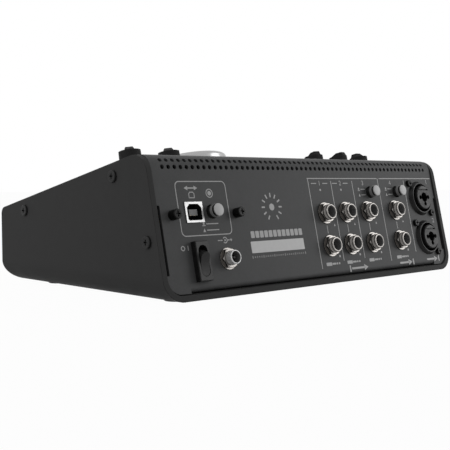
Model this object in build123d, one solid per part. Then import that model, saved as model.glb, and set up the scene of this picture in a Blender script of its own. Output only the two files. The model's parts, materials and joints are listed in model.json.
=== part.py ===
from build123d import *
import os
from math import cos, radians, sin, tan

# Studio monitor controller: a low wedge-shaped desk unit. The sheet tray has two cheeks, and a folded
# shell between them makes the rear, the top and the front. Sockets are on the leaning rear panel,
# knobs and buttons on the sloping top, headphone sockets on the front.
# Lengths are in millimetres and angles in degrees. +X is the user's right, +Y the rear, +Z up.

# ---- Driving dimensions ----

# Case
case_width = 253.6
case_depth = 163.0
rear_height = 75.9            # where the rear edge line meets the top line
rear_lean = 12.8              # rear edge line, from the vertical
top_slope = 12.2              # top line, from the horizontal
rear_top_radius = 11.0
front_top_radius = 4.5
front_bottom_radius = 11.5
side_bend_radius = 12.0
tray_wall = 3.2
front_lip_height = 13.0

# Folded shell
shell_wall = 1.5
shell_side_gap = 0.3
shell_bottom_gap = 0.5
shell_reveal = 1.0            # the rear and front panels stand this far inside the cheeks' edges
shell_rear_bend = 8.7
shell_front_bend = 4.0
shell_lip = 6.0
shell_lip_bend = 2.4
shell_lip_inset = 14.5        # flat lower corner of the rear panel beside its bent lip
side_flange = 14.0
side_slot_width = 2.0
side_slot_low = 13.7
side_slot_high = 49.4
side_slot_land = 3.0          # flange left below each slot

# Ventilation holes, in rows along the rear bend
vent_rows = 2
vent_pitch = 4.06
vent_radius = 1.2
vent_first_turn = 3.0         # first row's angle into the bend
vent_end_gap = 7.0            # least distance from a hole's middle to the shell's side

# Feet and screws
foot_radius = 6.5
foot_height = 2.6
foot_edge = 0.65
foot_seat = 1.0               # rubber between the foot screw's head and the tray
foot_inset_x = 26.0
foot_inset_y = 24.0
screw_shank_radius = 1.45
screw_hole_radius = 1.6
screw_end = 2.0               # thread that shows past the last sheet
screw_head_edge = 0.5
screw_recess_length = 3.0
screw_recess_width = 0.8
screw_recess_depth = 0.9
nut_bevel = 0.6
case_screw_head_radius = 3.2
case_screw_head_height = 1.3
case_screw_drop = 7.0         # below the top's outer face
case_screw_rear_row = 28.1
case_screw_front_row = 120.9
case_screw_panel_row = 32.2
case_screw_panel_depth = 6.65
board_screw_head_radius = 2.7
board_screw_head_height = 1.8
board_screw_length = 6.0

# Circuit boards
board_thickness = 1.6
board_side_gap = 5.5          # to each cheek's inner face
main_board_depth = 8.5        # from the top's outer face to the board
main_board_rear_margin = 17.6   # behind the small knobs' row
main_board_front_margin = 14.0  # in front of the last row of buttons
io_board_depth = 24.0         # from the rear panel's outer face to the board
io_board_low = 13.0
io_board_high = 60.0
standoff_radius = 2.6
cable_width = 24.0
cable_thickness = 0.9
cable_bend = 6.0
cable_x = -20.0
cable_main_row = 72.0
cable_io_row = 34.0
cable_main_run = 12.0
cable_io_run = 16.0

# 6.35 mm jack sockets
fit_gap = 0.1                 # between a fixed piece and its hole
jack_bore_radius = 3.25
jack_barrel_radius = 4.6
jack_barrel_height = 5.7
jack_body_width = 15.0
jack_body_height = 17.0
jack_bore_depth = 20.0
jack_edge = 0.4
jack_nut_radius = 6.2         # to a corner
jack_nut_height = 2.3
jack_washer_radius = 6.4
jack_washer_height = 0.8
jack_lower_row = 22.2
jack_row_step = 19.9
source_jack_step = 30.7       # in from the combination inlets
two_track_jack_step = 29.1    # in from the pair before, as are the next two
monitor_a_jack_step = 21.8
monitor_b_jack_step = 19.5
headphone_barrel_height = 4.2
headphone_body_height = 13.0
headphone_body_depth = 24.0

# Combination XLR and jack inlets
combo_inset = 21.55           # from the case's side
combo_2_row = 22.6
combo_gap = 1.0               # between the two flanges
combo_slot_radius = 9.7
combo_slot_depth = 14.0       # below the rim
combo_rim_wall = 0.7
combo_rim_height = 2.5
combo_collar_flare = 1.2
combo_core_radius = 8.0
combo_core_height = 4.2
combo_core_edge = 0.4
combo_flange_edge = 1.15      # beyond the screw holes
combo_flange_thickness = 3.0
combo_body_wall = 1.1         # outside the slot
combo_screw_gap = 0.65        # between a screw's head and the collar
combo_screw_head_radius = 2.25
combo_screw_head_height = 2.0
combo_pin_radius = 1.4
combo_pin_circle = 4.5
combo_pin_depth = 12.0
combo_latch_width = 11.0
combo_latch_row = 5.1         # above the middle of the core
combo_latch_groove = 0.9
combo_latch_depth = 0.8

# USB type B socket
usb_inset = 27.8              # from the case's side
usb_row = 45.45
usb_width = 12.04
usb_height = 10.9
usb_rim = 1.15
usb_upper_bevel = 1.9         # of the mouth's two upper corners
usb_lower_bevel = 0.7
usb_proud = 0.5
usb_shell_depth = 16.0
usb_cavity_depth = 9.5
usb_tongue_width = 5.6
usb_tongue_height = 3.2
usb_tongue_drop = 1.2
post_screw_row = 44.15
post_screw_outer_step = 14.9  # out from the USB socket
post_screw_inner_step = 29.8  # in from the USB socket
post_screw_head_radius = 2.7
post_screw_head_height = 5.0

# Latching buttons on the rear
record_button_step = 12.5     # in from the USB socket
two_track_button_step = 6.3   # out from its jacks, as is the next
source_button_step = 5.6
button_jack_gap = 0.4         # between a switch and the jack below it
rear_cap_radius = 3.6
rear_cap_height = 6.3
rear_cap_face = 1.9
rear_cap_edge = 0.5
rear_neck_radius = 3.0
rear_skirt_height = 1.9
rear_skirt_depth = 1.0
rear_cap_clearance = 0.2
rear_button_travel = 2.0
rear_stem_radius = 1.5
rear_stem_grip = 4.0
rear_switch_size = 7.0
rear_switch_depth = 6.0
rear_stem_spare = 1.0         # left below the stem at full travel
stem_clearance = 0.06

# Power switch
power_inset = 26.7            # from the case's side
power_row = 19.55
power_bezel_width = 8.8
power_bezel_height = 20.8
power_bezel_proud = 3.5
power_side_wall = 1.3         # from the well to the bezel's side
power_end_wall = 2.25         # from the well to the bezel's end
power_body_depth = 17.0
power_body_inset = 0.4
rocker_clearance = 0.2
rocker_crown = 9.0            # from the pivot to each end of the dish
rocker_dish = 1.1
rocker_foot = 1.2
rocker_heel = 3.0
rocker_heel_reach = 2.6
rocker_pivot_depth = 3.9
rocker_pin_radius = 1.0
rocker_pin_clearance = 0.05
rocker_tilt = 12.0
rocker_well_spare = 1.0

# DC inlet
dc_step = 19.7                # in from the power switch
dc_row = 19.85
dc_barrel_radius = 3.8
dc_barrel_height = 6.6
dc_bore_radius = 2.95
dc_bore_depth = 9.0
dc_pin_radius = 1.05
dc_pin_drop = 1.5
dc_body_size = 11.0
dc_body_depth = 14.0
dc_nut_radius = 5.6
dc_nut_height = 2.2
dc_washer_radius = 5.8
dc_washer_height = 0.6

# Small knobs on the top, in one row
knob_row = 47.8
knob_radius = 6.3
knob_draft = 0.3
knob_height = 11.4            # from the knob's base to its shoulder
knob_fin_height = 2.6
knob_fin_width = 4.2
knob_fin_reach = 5.9
knob_fin_flat = 4.5           # level top, from the middle towards the pointer
knob_fin_root = 1.0           # sunk into the body
knob_gap = 0.6
knob_pocket_gap = 0.5
input_1_gain_inset = 18.8     # from the case's side, as are the next four
input_2_gain_inset = 42.0
source_level_inset = 68.4
phones_1_inset = 56.4
phones_2_inset = 28.0
pot_sweep = 300.0

# Potentiometers
pot_body_width = 10.0
pot_body_length = 11.5
pot_body_gap = 0.5
pot_bushing_radius = 3.5
pot_bushing_height = 4.0
pot_shaft_radius = 2.7
pot_shaft_clearance = 0.05
pot_shaft_flat = 0.9
pot_shaft_height = 9.5
pot_shaft_seat = 1.3
pot_nut_radius = 5.0
pot_nut_height = 1.8

# Volume knob
volume_x = 22.0
volume_row = 85.1
volume_radius = 24.0
volume_height = 17.0
volume_gap = 1.0
volume_wall = 2.4
volume_crown = 3.0
volume_rim = 2.2
volume_boss_radius = 6.0
volume_shaft_height = 14.0
volume_pot_width = 14.0

# Square buttons on the top
top_button_size = 8.6
top_button_proud = 2.4
top_button_clearance = 0.25
top_button_edge = 0.6
top_button_travel = 1.0
top_button_flange = 0.8
top_stem_radius = 1.6
top_stem_grip = 1.0
top_switch_size = 6.0
top_switch_height = 3.5
button_row_rear = 72.0
button_row_front = 98.0

# Level lights and talkback microphone
light_radius = 1.4
light_proud = 0.3
light_pitch = 6.0
light_count = 6
light_columns = 2
light_column_gap = 7.0
light_x = -20.0
light_row = 64.0
mic_inset = 19.0              # from the front panel, along the top
mic_radius = 4.0
mic_depth = 5.0
mic_hole_radius = 0.6
mic_hole_circle = 2.0
mic_hole_count = 6

# ---- Derived places ----

lean = radians(rear_lean)
slope = radians(top_slope)
half_width = case_width / 2
rear_edge_y = shell_reveal / cos(lean)
corner_y = rear_edge_y - rear_height * tan(lean)
front_y = rear_edge_y - case_depth
front_panel_y = front_y + shell_reveal
shell_half = half_width - tray_wall - shell_side_gap
shell_floor = tray_wall + shell_bottom_gap
shell_front_floor = front_lip_height + shell_bottom_gap
vent_count = int(2 * (shell_half - vent_end_gap) / vent_pitch) + 1
board_half_width = half_width - tray_wall - board_side_gap
beyond = 2 * case_depth       # past every side of the case, for cutters


def top_z(y):
    """Height of the top line at the depth y."""
    return rear_height + (y - corner_y) * tan(slope)


def rear_yz(row, out=0.0):
    """(y, z) of a point up the rear panel by row and outward by out."""
    return (out * cos(lean) - row * sin(lean), out * sin(lean) + row * cos(lean))


def top_yz(row, out=0.0):
    """(y, z) of a point on the top: row runs from the rear corner to the front, out is outward."""
    return (corner_y - row * cos(slope) - out * sin(slope), rear_height - row * sin(slope) + out * cos(slope))


def meet(rear_out, top_out):
    """(y, z) where the rear line moved by rear_out meets the top line moved by top_out."""
    level = rear_height * cos(slope) - corner_y * sin(slope) + top_out
    return rear_yz((level - rear_out * sin(lean - slope)) / cos(lean - slope), rear_out)


def rear_plane(x, row, out=0.0):
    """Plane on the rear panel: local x points to -X, local y up the panel, local z outward."""
    return Plane(origin=(x, *rear_yz(row, out)), x_dir=(-1, 0, 0), z_dir=(0, cos(lean), sin(lean)))


def top_plane(x, row, out=0.0):
    """Plane on the top: local x points to +X, local y to the rear, local z outward."""
    return Plane(origin=(x, *top_yz(row, out)), x_dir=(1, 0, 0), z_dir=(0, -sin(slope), cos(slope)))


def front_plane(x, height, out=0.0):
    """Plane on the front panel: local y up, local z outward."""
    return Plane(origin=(x, front_panel_y - out, height), x_dir=(1, 0, 0), z_dir=(0, -1, 0))


def side_plane(side, y, z):
    """Plane on the outer face of a cheek, side being 1 or -1: local z outward."""
    return Plane(origin=(side * half_width, y, z), x_dir=(0, side, 0), z_dir=(side, 0, 0))


# ---- Places of what the panels carry ----

combo_x = combo_inset - half_width
source_jack_x = combo_x + source_jack_step
two_track_jack_x = source_jack_x + two_track_jack_step
monitor_a_jack_x = two_track_jack_x + monitor_a_jack_step
monitor_b_jack_x = monitor_a_jack_x + monitor_b_jack_step
usb_x = half_width - usb_inset
power_x = half_width - power_inset
dc_x = power_x - dc_step
input_1_gain_x = input_1_gain_inset - half_width
input_2_gain_x = input_2_gain_inset - half_width
source_level_x = source_level_inset - half_width
phones_1_x = half_width - phones_1_inset
phones_2_x = half_width - phones_2_inset

jack_upper_row = jack_lower_row + jack_row_step
select_button_row = jack_upper_row + (jack_body_height + rear_switch_size) / 2 + button_jack_gap
headphone_jack_height = (shell_front_floor + top_z(front_panel_y)) / 2
main_board_start = knob_row - main_board_rear_margin
main_board_end = button_row_front + main_board_front_margin

jack_pairs = {
    "monitor_b_jacks": monitor_b_jack_x,
    "monitor_a_jacks": monitor_a_jack_x,
    "two_track_jacks": two_track_jack_x,
    "source_jacks": source_jack_x,
}
jack_rows = (jack_upper_row, jack_lower_row)
headphone_places = [front_plane(x, headphone_jack_height) for x in (phones_1_x, phones_2_x)]
rear_jack_places = [rear_plane(x, row) for x in jack_pairs.values() for row in jack_rows]
jack_places = rear_jack_places + headphone_places
combo_rim_radius = combo_slot_radius + combo_rim_wall
combo_collar_radius = combo_rim_radius + combo_collar_flare
combo_screw_step = (combo_collar_radius + combo_screw_head_radius + combo_screw_gap) / 2 ** 0.5
combo_flange_size = 2 * (combo_screw_step + screw_hole_radius + combo_flange_edge)
combo_rows = {
    "input_1_combo_jack": combo_2_row + combo_flange_size + combo_gap,
    "input_2_combo_jack": combo_2_row,
}
combo_screw_places = [
    rear_plane(combo_x + side * combo_screw_step, row + side * combo_screw_step)
    for row in combo_rows.values()
    for side in (1, -1)
]
post_places = [
    rear_plane(usb_x + step, post_screw_row)
    for step in (post_screw_outer_step, -post_screw_inner_step)
]
rear_buttons = {
    "record_button": rear_plane(usb_x - record_button_step, usb_row),
    "two_track_button": rear_plane(two_track_jack_x - two_track_button_step, select_button_row),
    "source_button": rear_plane(source_jack_x - source_button_step, select_button_row),
}
power_place = rear_plane(power_x, power_row)
dc_place = rear_plane(dc_x, dc_row)
usb_place = rear_plane(usb_x, usb_row)

# Each small knob's place across the top, and how far its pointer is turned from the rear at rest.
knobs = {
    "input_1_gain": (input_1_gain_x, -90.0),
    "input_2_gain": (input_2_gain_x, 5.0),
    "source_level": (source_level_x, -15.0),
    "phones_1_level": (phones_1_x, pot_sweep / 2),
    "phones_2_level": (phones_2_x, pot_sweep / 2),
}
volume_turn = 60.0
knob_places = {name: top_plane(x, knob_row) for name, (x, turn) in knobs.items()}
volume_place = top_plane(volume_x, volume_row)
top_buttons = {
    "select_source_button": top_plane(input_1_gain_x, button_row_rear),
    "select_two_track_button": top_plane(input_2_gain_x, button_row_rear),
    "select_computer_button": top_plane(source_level_x, button_row_rear),
    "monitor_a_button": top_plane(input_1_gain_x, button_row_front),
    "monitor_b_button": top_plane(input_2_gain_x, button_row_front),
    "mono_button": top_plane(phones_1_x, button_row_rear),
    "mute_button": top_plane(phones_2_x, button_row_rear),
    "dim_button": top_plane(phones_1_x, button_row_front),
    "talkback_button": top_plane(phones_2_x, button_row_front),
}
mic_row = (corner_y - front_panel_y) / cos(slope) - mic_inset
mic_place = top_plane((phones_1_x + phones_2_x) / 2, mic_row)
light_places = [
    top_plane(light_x - column * light_column_gap, light_row + step * light_pitch)
    for column in range(light_columns)
    for step in range(light_count)
]
standoff_x = board_half_width - 2 * standoff_radius
main_standoff_places = [
    top_plane(x, row)
    for x in (-standoff_x, standoff_x)
    for row in (main_board_start + 2 * standoff_radius, main_board_end - 2 * standoff_radius)
]
side_screw_places = [
    side_plane(side, y, z)
    for side in (1, -1)
    for y, z in (
        top_yz(case_screw_front_row, -case_screw_drop),
        top_yz(case_screw_rear_row, -case_screw_drop),
        rear_yz(case_screw_panel_row, -case_screw_panel_depth),
    )
]
foot_places = [
    Plane(origin=(side * (half_width - foot_inset_x), y, 0))
    for side in (1, -1)
    for y in (rear_edge_y - foot_inset_y, front_y + foot_inset_y)
]


# ---- Simple shapes, along local z ----

def cylinder(radius, low, high):
    """Cylinder from low to high."""
    return Pos(0, 0, low) * Cylinder(radius, high - low, align=(Align.CENTER, Align.CENTER, Align.MIN))


def taper(low_radius, high_radius, low, high):
    """Cone frustum from low to high."""
    align = (Align.CENTER, Align.CENTER, Align.MIN)
    return Pos(0, 0, low) * Cone(low_radius, high_radius, high - low, align=align)


def block(width, height, low, high):
    """Box from low to high."""
    return Pos(0, 0, low) * Box(width, height, high - low, align=(Align.CENTER, Align.CENTER, Align.MIN))


def group(shapes):
    """Separate solids kept together in one node."""
    return Compound(children=[solid for shape in shapes for solid in shape.solids()])


def side_face(points, radii):
    """Face over a (y, z) outline whose corners have the given radii."""
    return make_face(FilletPolyline(*points, radius=radii, close=True))


def along_x(face, half):
    """Prism of a (y, z) face, running half to each side."""
    return extrude(Plane.YZ * face, amount=half, both=True)


def trough(half, floor, corner_radius):
    """Prism along Y of a section that is open upward, with rounded lower corners."""
    points = [(-half, beyond), (-half, floor), (half, floor), (half, beyond)]
    outline = FilletPolyline(*points, radius=[0, corner_radius, corner_radius, 0], close=True)
    return extrude(Plane.XZ * make_face(outline), amount=beyond, both=True)


# ---- Fasteners ----

def phillips_screw(head_radius, head_height, shank_length):
    """Screw with its head on local z = 0, its shank below, and a cross recess."""
    head = cylinder(head_radius, 0, head_height)
    head = fillet(head.edges().sort_by(Axis.Z)[-1], screw_head_edge)
    recess_low = head_height - screw_recess_depth
    recess = block(screw_recess_length, screw_recess_width, recess_low, head_height)
    recess += block(screw_recess_width, screw_recess_length, recess_low, head_height)
    return head + cylinder(screw_shank_radius, -shank_length, 0) - recess


def standoff(low, high):
    """Hexagonal spacer with a screw hole right through."""
    body = Pos(0, 0, low) * extrude(RegularPolygon(standoff_radius, 6), amount=high - low)
    return body - cylinder(screw_hole_radius, low, high)


def hex_nut(corner_radius, height, hole_radius):
    """Nut with bevelled upper corners, standing on local z = 0."""
    body = extrude(RegularPolygon(corner_radius, 6), amount=height)
    bevel = taper(corner_radius + height - nut_bevel, corner_radius - nut_bevel, 0, height)
    return (body & bevel) - cylinder(hole_radius, 0, height)


def washer(outer_radius, height, hole_radius):
    """Flat ring standing on local z = 0."""
    return cylinder(outer_radius, 0, height) - cylinder(hole_radius, 0, height)


# ---- Case ----

def build_tray():
    """Tray: floor, two cheeks and a low front lip, with rounded bends."""
    outline = [(rear_edge_y, 0), (corner_y, rear_height), (front_y, top_z(front_y)), (front_y, 0)]
    radii = [0, rear_top_radius, front_top_radius, front_bottom_radius]
    tray = along_x(side_face(outline, radii), half_width)
    tray &= trough(half_width, 0, side_bend_radius)

    inside_y = front_y + tray_wall
    low_points = [(beyond, tray_wall), (beyond, beyond), (inside_y, beyond), (inside_y, tray_wall)]
    low_face = side_face(low_points, [0, 0, 0, front_bottom_radius - tray_wall])
    room = along_x(low_face, half_width)
    over_lip = [(inside_y + tray_wall, front_lip_height), (inside_y + tray_wall, beyond), (-beyond, beyond),
                (-beyond, front_lip_height)]
    room += along_x(make_face(Polyline(*over_lip, close=True)), half_width)
    room &= trough(half_width - tray_wall, tray_wall, side_bend_radius - tray_wall)
    tray -= room

    holes = [place * cylinder(screw_hole_radius, -2 * tray_wall, tray_wall) for place in side_screw_places]
    holes += [place * cylinder(screw_hole_radius, -tray_wall, 2 * tray_wall) for place in foot_places]
    return tray - holes


def shell_blank():
    """Folded sheet before its openings are cut: rear, top and front, with side flanges."""
    outline = [
        rear_yz(shell_floor / cos(lean)),
        meet(0, 0),
        (front_panel_y, top_z(front_panel_y)),
        (front_panel_y, shell_front_floor),
    ]
    outer = side_face(outline, [shell_lip_bend, shell_rear_bend, shell_front_bend, shell_lip_bend])
    unbent = side_face(outline, [0, shell_rear_bend, shell_front_bend, shell_lip_bend])
    inner = offset(outer, -shell_wall, kind=Kind.INTERSECTION)
    corner = side_bend_radius - tray_wall - shell_side_gap
    blank = along_x(unbent, shell_half) & trough(shell_half, shell_floor, corner)
    blank -= along_x(unbent - outer, shell_half - shell_lip_inset)
    room = along_x(inner, shell_half - shell_wall)
    room &= trough(shell_half - shell_wall, shell_floor + shell_wall, corner - shell_wall)
    blank -= room

    below = -tray_wall
    rear_lip_y = rear_yz(shell_floor / cos(lean))[0] - shell_lip
    front_lip_y = front_panel_y + shell_lip
    mouth = [(rear_lip_y, below), (rear_lip_y, shell_floor + 2 * shell_wall),
             (front_lip_y, shell_front_floor + 2 * shell_wall), (front_lip_y, below)]
    blank -= along_x(make_face(Polyline(*mouth, close=True)), half_width)

    inner_front_y = front_panel_y + shell_wall
    top_band_z = top_yz(0, -side_flange)[1] - (top_yz(0, -side_flange)[0] - inner_front_y) * tan(slope)
    flange_row = side_slot_low - side_slot_land
    waste = [
        rear_yz(flange_row, -shell_wall),
        rear_yz(flange_row, -side_flange),
        meet(-side_flange, -side_flange),
        (inner_front_y, top_band_z),
        (inner_front_y, below),
        rear_yz(below, -shell_wall),
    ]
    waste_prism = extrude(Plane.YZ * make_face(Polyline(*waste, close=True)), amount=2 * shell_wall)
    slot = block(side_slot_width, side_slot_high - side_slot_low, -shell_wall, shell_wall)
    slot_row = (side_slot_low + side_slot_high) / 2
    for side in (1, -1):
        edge = side * (shell_half - shell_wall)
        blank -= Pos(edge if side == 1 else edge - 2 * shell_wall, 0, 0) * waste_prism
        blank -= rear_plane(side * (shell_half - side_slot_width / 2), slot_row) * slot
    return blank


def vent_cutters():
    """Rows of round ventilation holes along the rear bend."""
    centre_y, centre_z = meet(-shell_rear_bend, -shell_rear_bend)
    cutters = []
    for row in range(vent_rows):
        turn = lean + radians(vent_first_turn) + row * vent_pitch / shell_rear_bend
        y = centre_y + shell_rear_bend * cos(turn)
        z = centre_z + shell_rear_bend * sin(turn)
        for step in range(vent_count):
            x = (step - (vent_count - 1) / 2) * vent_pitch
            place = Plane(origin=(x, y, z), x_dir=(-1, 0, 0), z_dir=(0, cos(turn), sin(turn)))
            cutters.append(place * cylinder(vent_radius, -2 * shell_wall, shell_wall))
    return cutters


def round_holes(places, radius):
    """Cutters for round holes through the shell."""
    return [place * cylinder(radius, -2 * shell_wall, shell_wall) for place in places]


def build_shell():
    """Folded shell with every opening for what it carries."""
    cutters = vent_cutters()
    cutters += round_holes(jack_places, jack_barrel_radius + fit_gap)
    cutters += round_holes([rear_plane(combo_x, row) for row in combo_rows.values()],
                           combo_collar_radius + fit_gap)
    cutters += round_holes(combo_screw_places + post_places + side_screw_places_on_shell(), screw_hole_radius)
    cutters += round_holes(rear_buttons.values(), rear_cap_radius + rear_cap_clearance)
    cutters += round_holes([dc_place], dc_barrel_radius + fit_gap)
    cutters += round_holes([*knob_places.values(), volume_place], pot_bushing_radius + fit_gap)
    cutters += round_holes(light_places, light_radius + fit_gap)
    cutters += round_holes(mic_hole_places(), mic_hole_radius)
    usb_hole = block(usb_width + 2 * fit_gap, usb_height + 2 * fit_gap, -2 * shell_wall, shell_wall)
    cutters.append(usb_place * usb_hole)
    power_hole = block(power_body_width() + 2 * fit_gap, power_body_height() + 2 * fit_gap,
                       -2 * shell_wall, shell_wall)
    cutters.append(power_place * power_hole)
    opening = top_button_size + 2 * top_button_clearance
    button_hole = block(opening, opening, -2 * shell_wall, shell_wall)
    cutters += [place * button_hole for place in top_buttons.values()]
    return shell_blank() - cutters


def side_screw_places_on_shell():
    """Side screw axes, moved in to the shell's side flanges."""
    inward = -(half_width - shell_half)
    return [Plane(place.origin + place.z_dir * inward, x_dir=place.x_dir, z_dir=place.z_dir)
            for place in side_screw_places]


def mic_hole_places():
    """Ring of small sound holes with one in the middle."""
    ring = PolarLocations(mic_hole_circle, mic_hole_count)
    return [mic_place] + [Plane(mic_place.location * spot) for spot in ring]


def build_foot():
    """Rubber foot below the tray, with a counterbore for its screw."""
    foot = cylinder(foot_radius, -foot_height, 0)
    foot = fillet(foot.edges().sort_by(Axis.Z)[0], foot_edge)
    foot -= cylinder(case_screw_head_radius + fit_gap, -foot_height, -foot_seat)
    return foot - cylinder(screw_hole_radius, -foot_seat, 0)


def build_foot_screw():
    """Screw up through a foot into the tray."""
    shank = foot_seat + tray_wall + screw_end
    screw = phillips_screw(case_screw_head_radius, case_screw_head_height, shank)
    return Pos(0, 0, -foot_seat) * Rot(180, 0, 0) * screw


# ---- Circuit boards ----

def build_main_board():
    """Board under the top, carrying the potentiometers, switches and lights."""
    place = top_plane(0, (main_board_start + main_board_end) / 2)
    length = main_board_end - main_board_start
    under = -main_board_depth - board_thickness
    board = place * block(2 * board_half_width, length, under, -main_board_depth)
    holes = [spot * cylinder(screw_hole_radius, -main_board_depth - 2 * board_thickness, 0)
             for spot in main_standoff_places]
    return board - holes


def build_io_board():
    """Board behind the rear panel, carrying the sockets."""
    place = rear_plane(0, (io_board_low + io_board_high) / 2)
    height = io_board_high - io_board_low
    board = place * block(2 * board_half_width, height, -io_board_depth - board_thickness, -io_board_depth)
    holes = [spot * cylinder(screw_hole_radius, -io_board_depth - 2 * board_thickness, 0)
             for spot in post_places]
    return board - holes


def board_screw(depth):
    """Screw driven outward through a board whose outer face is at the given depth."""
    screw = phillips_screw(board_screw_head_radius, board_screw_head_height, board_screw_length)
    return Pos(0, 0, -depth - board_thickness) * Rot(180, 0, 0) * screw


def build_cable():
    """Flat cable between the two boards."""
    under_main = -main_board_depth - board_thickness
    behind_io = -io_board_depth - board_thickness
    points = [
        top_yz(cable_main_row, under_main),
        top_yz(cable_main_row, under_main - cable_main_run),
        rear_yz(cable_io_row, behind_io - cable_io_run),
        rear_yz(cable_io_row, behind_io),
    ]
    strip = trace(FilletPolyline(*points, radius=cable_bend), cable_thickness)
    return Pos(cable_x, 0, 0) * along_x(strip, cable_width / 2)


# ---- Rear sockets ----

def jack_socket(body_height, body_depth, barrel_height):
    """Jack socket: threaded barrel in front of local z = 0, body behind the panel."""
    barrel = cylinder(jack_barrel_radius, -2 * shell_wall, barrel_height)
    barrel = chamfer(barrel.edges().sort_by(Axis.Z)[-1], jack_edge)
    body = block(jack_body_width, body_height, -body_depth, -shell_wall)
    mouth = taper(jack_bore_radius, jack_bore_radius + jack_edge, barrel_height - jack_edge, barrel_height)
    return body + barrel - cylinder(jack_bore_radius, -jack_bore_depth, barrel_height) - mouth


def combo_socket():
    """Round inlet for an XLR plug or a jack plug: tapered collar, ring slot and a core that stands out."""
    flange_low = -shell_wall - combo_flange_thickness
    socket = cylinder(combo_collar_radius, -shell_wall, 0)
    socket += taper(combo_collar_radius, combo_rim_radius, 0, combo_rim_height)
    socket += block(combo_flange_size, combo_flange_size, flange_low, -shell_wall)
    socket += cylinder(combo_slot_radius + combo_body_wall, -io_board_depth, flange_low)
    slot_floor = combo_rim_height - combo_slot_depth
    socket -= cylinder(combo_slot_radius, slot_floor, combo_rim_height)

    core = cylinder(combo_core_radius, slot_floor, combo_core_height)
    core = chamfer(core.edges().sort_by(Axis.Z)[-1], combo_core_edge)
    pin_hole = cylinder(combo_pin_radius, combo_core_height - combo_pin_depth, combo_core_height)
    core -= [Rot(0, 0, turn) * Pos(combo_pin_circle, 0, 0) * pin_hole for turn in (0, 180, 270)]
    groove_floor = combo_core_height - combo_latch_depth
    groove = block(combo_latch_width, combo_latch_groove, groove_floor, combo_core_height)
    core -= Pos(0, combo_latch_row, 0) * groove
    socket += core
    socket -= cylinder(jack_bore_radius, -jack_bore_depth, combo_core_height)
    screw_hole = cylinder(screw_hole_radius, flange_low, -shell_wall)
    for side in (1, -1):
        socket -= Pos(-side * combo_screw_step, side * combo_screw_step, 0) * screw_hole
    return socket


def usb_mouth():
    """Face of the socket's mouth, a rectangle with bevelled corners."""
    x = usb_width / 2 - usb_rim
    y = usb_height / 2 - usb_rim
    points = [(usb_lower_bevel - x, -y), (x - usb_lower_bevel, -y), (x, usb_lower_bevel - y),
              (x, y - usb_upper_bevel), (x - usb_upper_bevel, y), (usb_upper_bevel - x, y),
              (-x, y - usb_upper_bevel), (-x, usb_lower_bevel - y)]
    return make_face(Polyline(*points, close=True))


def build_usb_shell():
    """Square metal shell of the computer socket."""
    wall = Rectangle(usb_width, usb_height) - usb_mouth()
    length = usb_shell_depth + usb_proud
    return usb_place * Pos(0, 0, -usb_shell_depth) * extrude(wall, amount=length)


def build_usb_insert():
    """Plastic block behind the shell, with a tongue in its mouth."""
    behind = offset(usb_mouth(), -fit_gap, kind=Kind.INTERSECTION)
    back = extrude(behind, amount=io_board_depth - usb_cavity_depth)
    tongue = block(usb_tongue_width, usb_tongue_height, -usb_cavity_depth, usb_proud - usb_tongue_drop)
    return usb_place * (Pos(0, 0, -io_board_depth) * back + tongue)


def build_dc_jack():
    """Screwed DC inlet with a centre pin."""
    barrel = cylinder(dc_barrel_radius, -2 * shell_wall, dc_barrel_height)
    barrel = chamfer(barrel.edges().sort_by(Axis.Z)[-1], jack_edge)
    body = block(dc_body_size, dc_body_size, -dc_body_depth, -shell_wall)
    inlet = body + barrel - cylinder(dc_bore_radius, -dc_bore_depth, dc_barrel_height)
    return dc_place * (inlet + cylinder(dc_pin_radius, -dc_bore_depth, dc_barrel_height - dc_pin_drop))


# ---- Rear buttons ----

def rear_cap():
    """Round button: skirt, narrower neck, face, and a stem that runs in its switch."""
    face = cylinder(rear_cap_radius, rear_cap_height - rear_cap_face, rear_cap_height)
    face = fillet(face.edges().sort_by(Axis.Z)[-1], rear_cap_edge)
    cap = face + cylinder(rear_neck_radius, rear_skirt_height, rear_cap_height - rear_cap_face)
    cap += cylinder(rear_cap_radius, -rear_skirt_depth, rear_skirt_height)
    return cap + cylinder(rear_stem_radius, -rear_switch_depth - rear_stem_grip, -rear_skirt_depth)


def rear_switch():
    """Latching switch between a rear button and the board."""
    body = block(rear_switch_size, rear_switch_size, -io_board_depth, -rear_switch_depth)
    well_low = -rear_switch_depth - rear_stem_grip - rear_button_travel - rear_stem_spare
    return body - cylinder(rear_stem_radius + stem_clearance, well_low, -rear_switch_depth)


# ---- Power switch ----

def power_body_width():
    """Width of the power switch behind the panel."""
    return power_bezel_width - 2 * power_body_inset


def power_body_height():
    """Height of the power switch behind the panel."""
    return power_bezel_height - 2 * power_body_inset


def power_well(gap, low, high):
    """Prism over the well's outline, round at both ends, with a gap all round it."""
    length = power_bezel_height - 2 * (power_end_wall + gap)
    width = power_bezel_width - 2 * (power_side_wall + gap)
    return Pos(0, 0, low) * extrude(SlotOverall(length, width, rotation=90), amount=high - low)


def build_power_frame():
    """Frame of the power switch: bezel, body, and a well for the rocker with two pin holes."""
    frame = block(power_bezel_width, power_bezel_height, 0, power_bezel_proud)
    frame = fillet(frame.edges().group_by(Axis.Z)[-1], power_body_inset)
    frame += block(power_body_width(), power_body_height(), -power_body_depth, 0)
    frame -= power_well(0, -rocker_pivot_depth - rocker_heel - rocker_well_spare, power_bezel_proud)
    pins = Rot(0, 90, 0) * Cylinder(rocker_pin_radius + rocker_pin_clearance, power_bezel_width)
    return power_place * (frame - Pos(0, 0, -rocker_pivot_depth) * pins)


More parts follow.
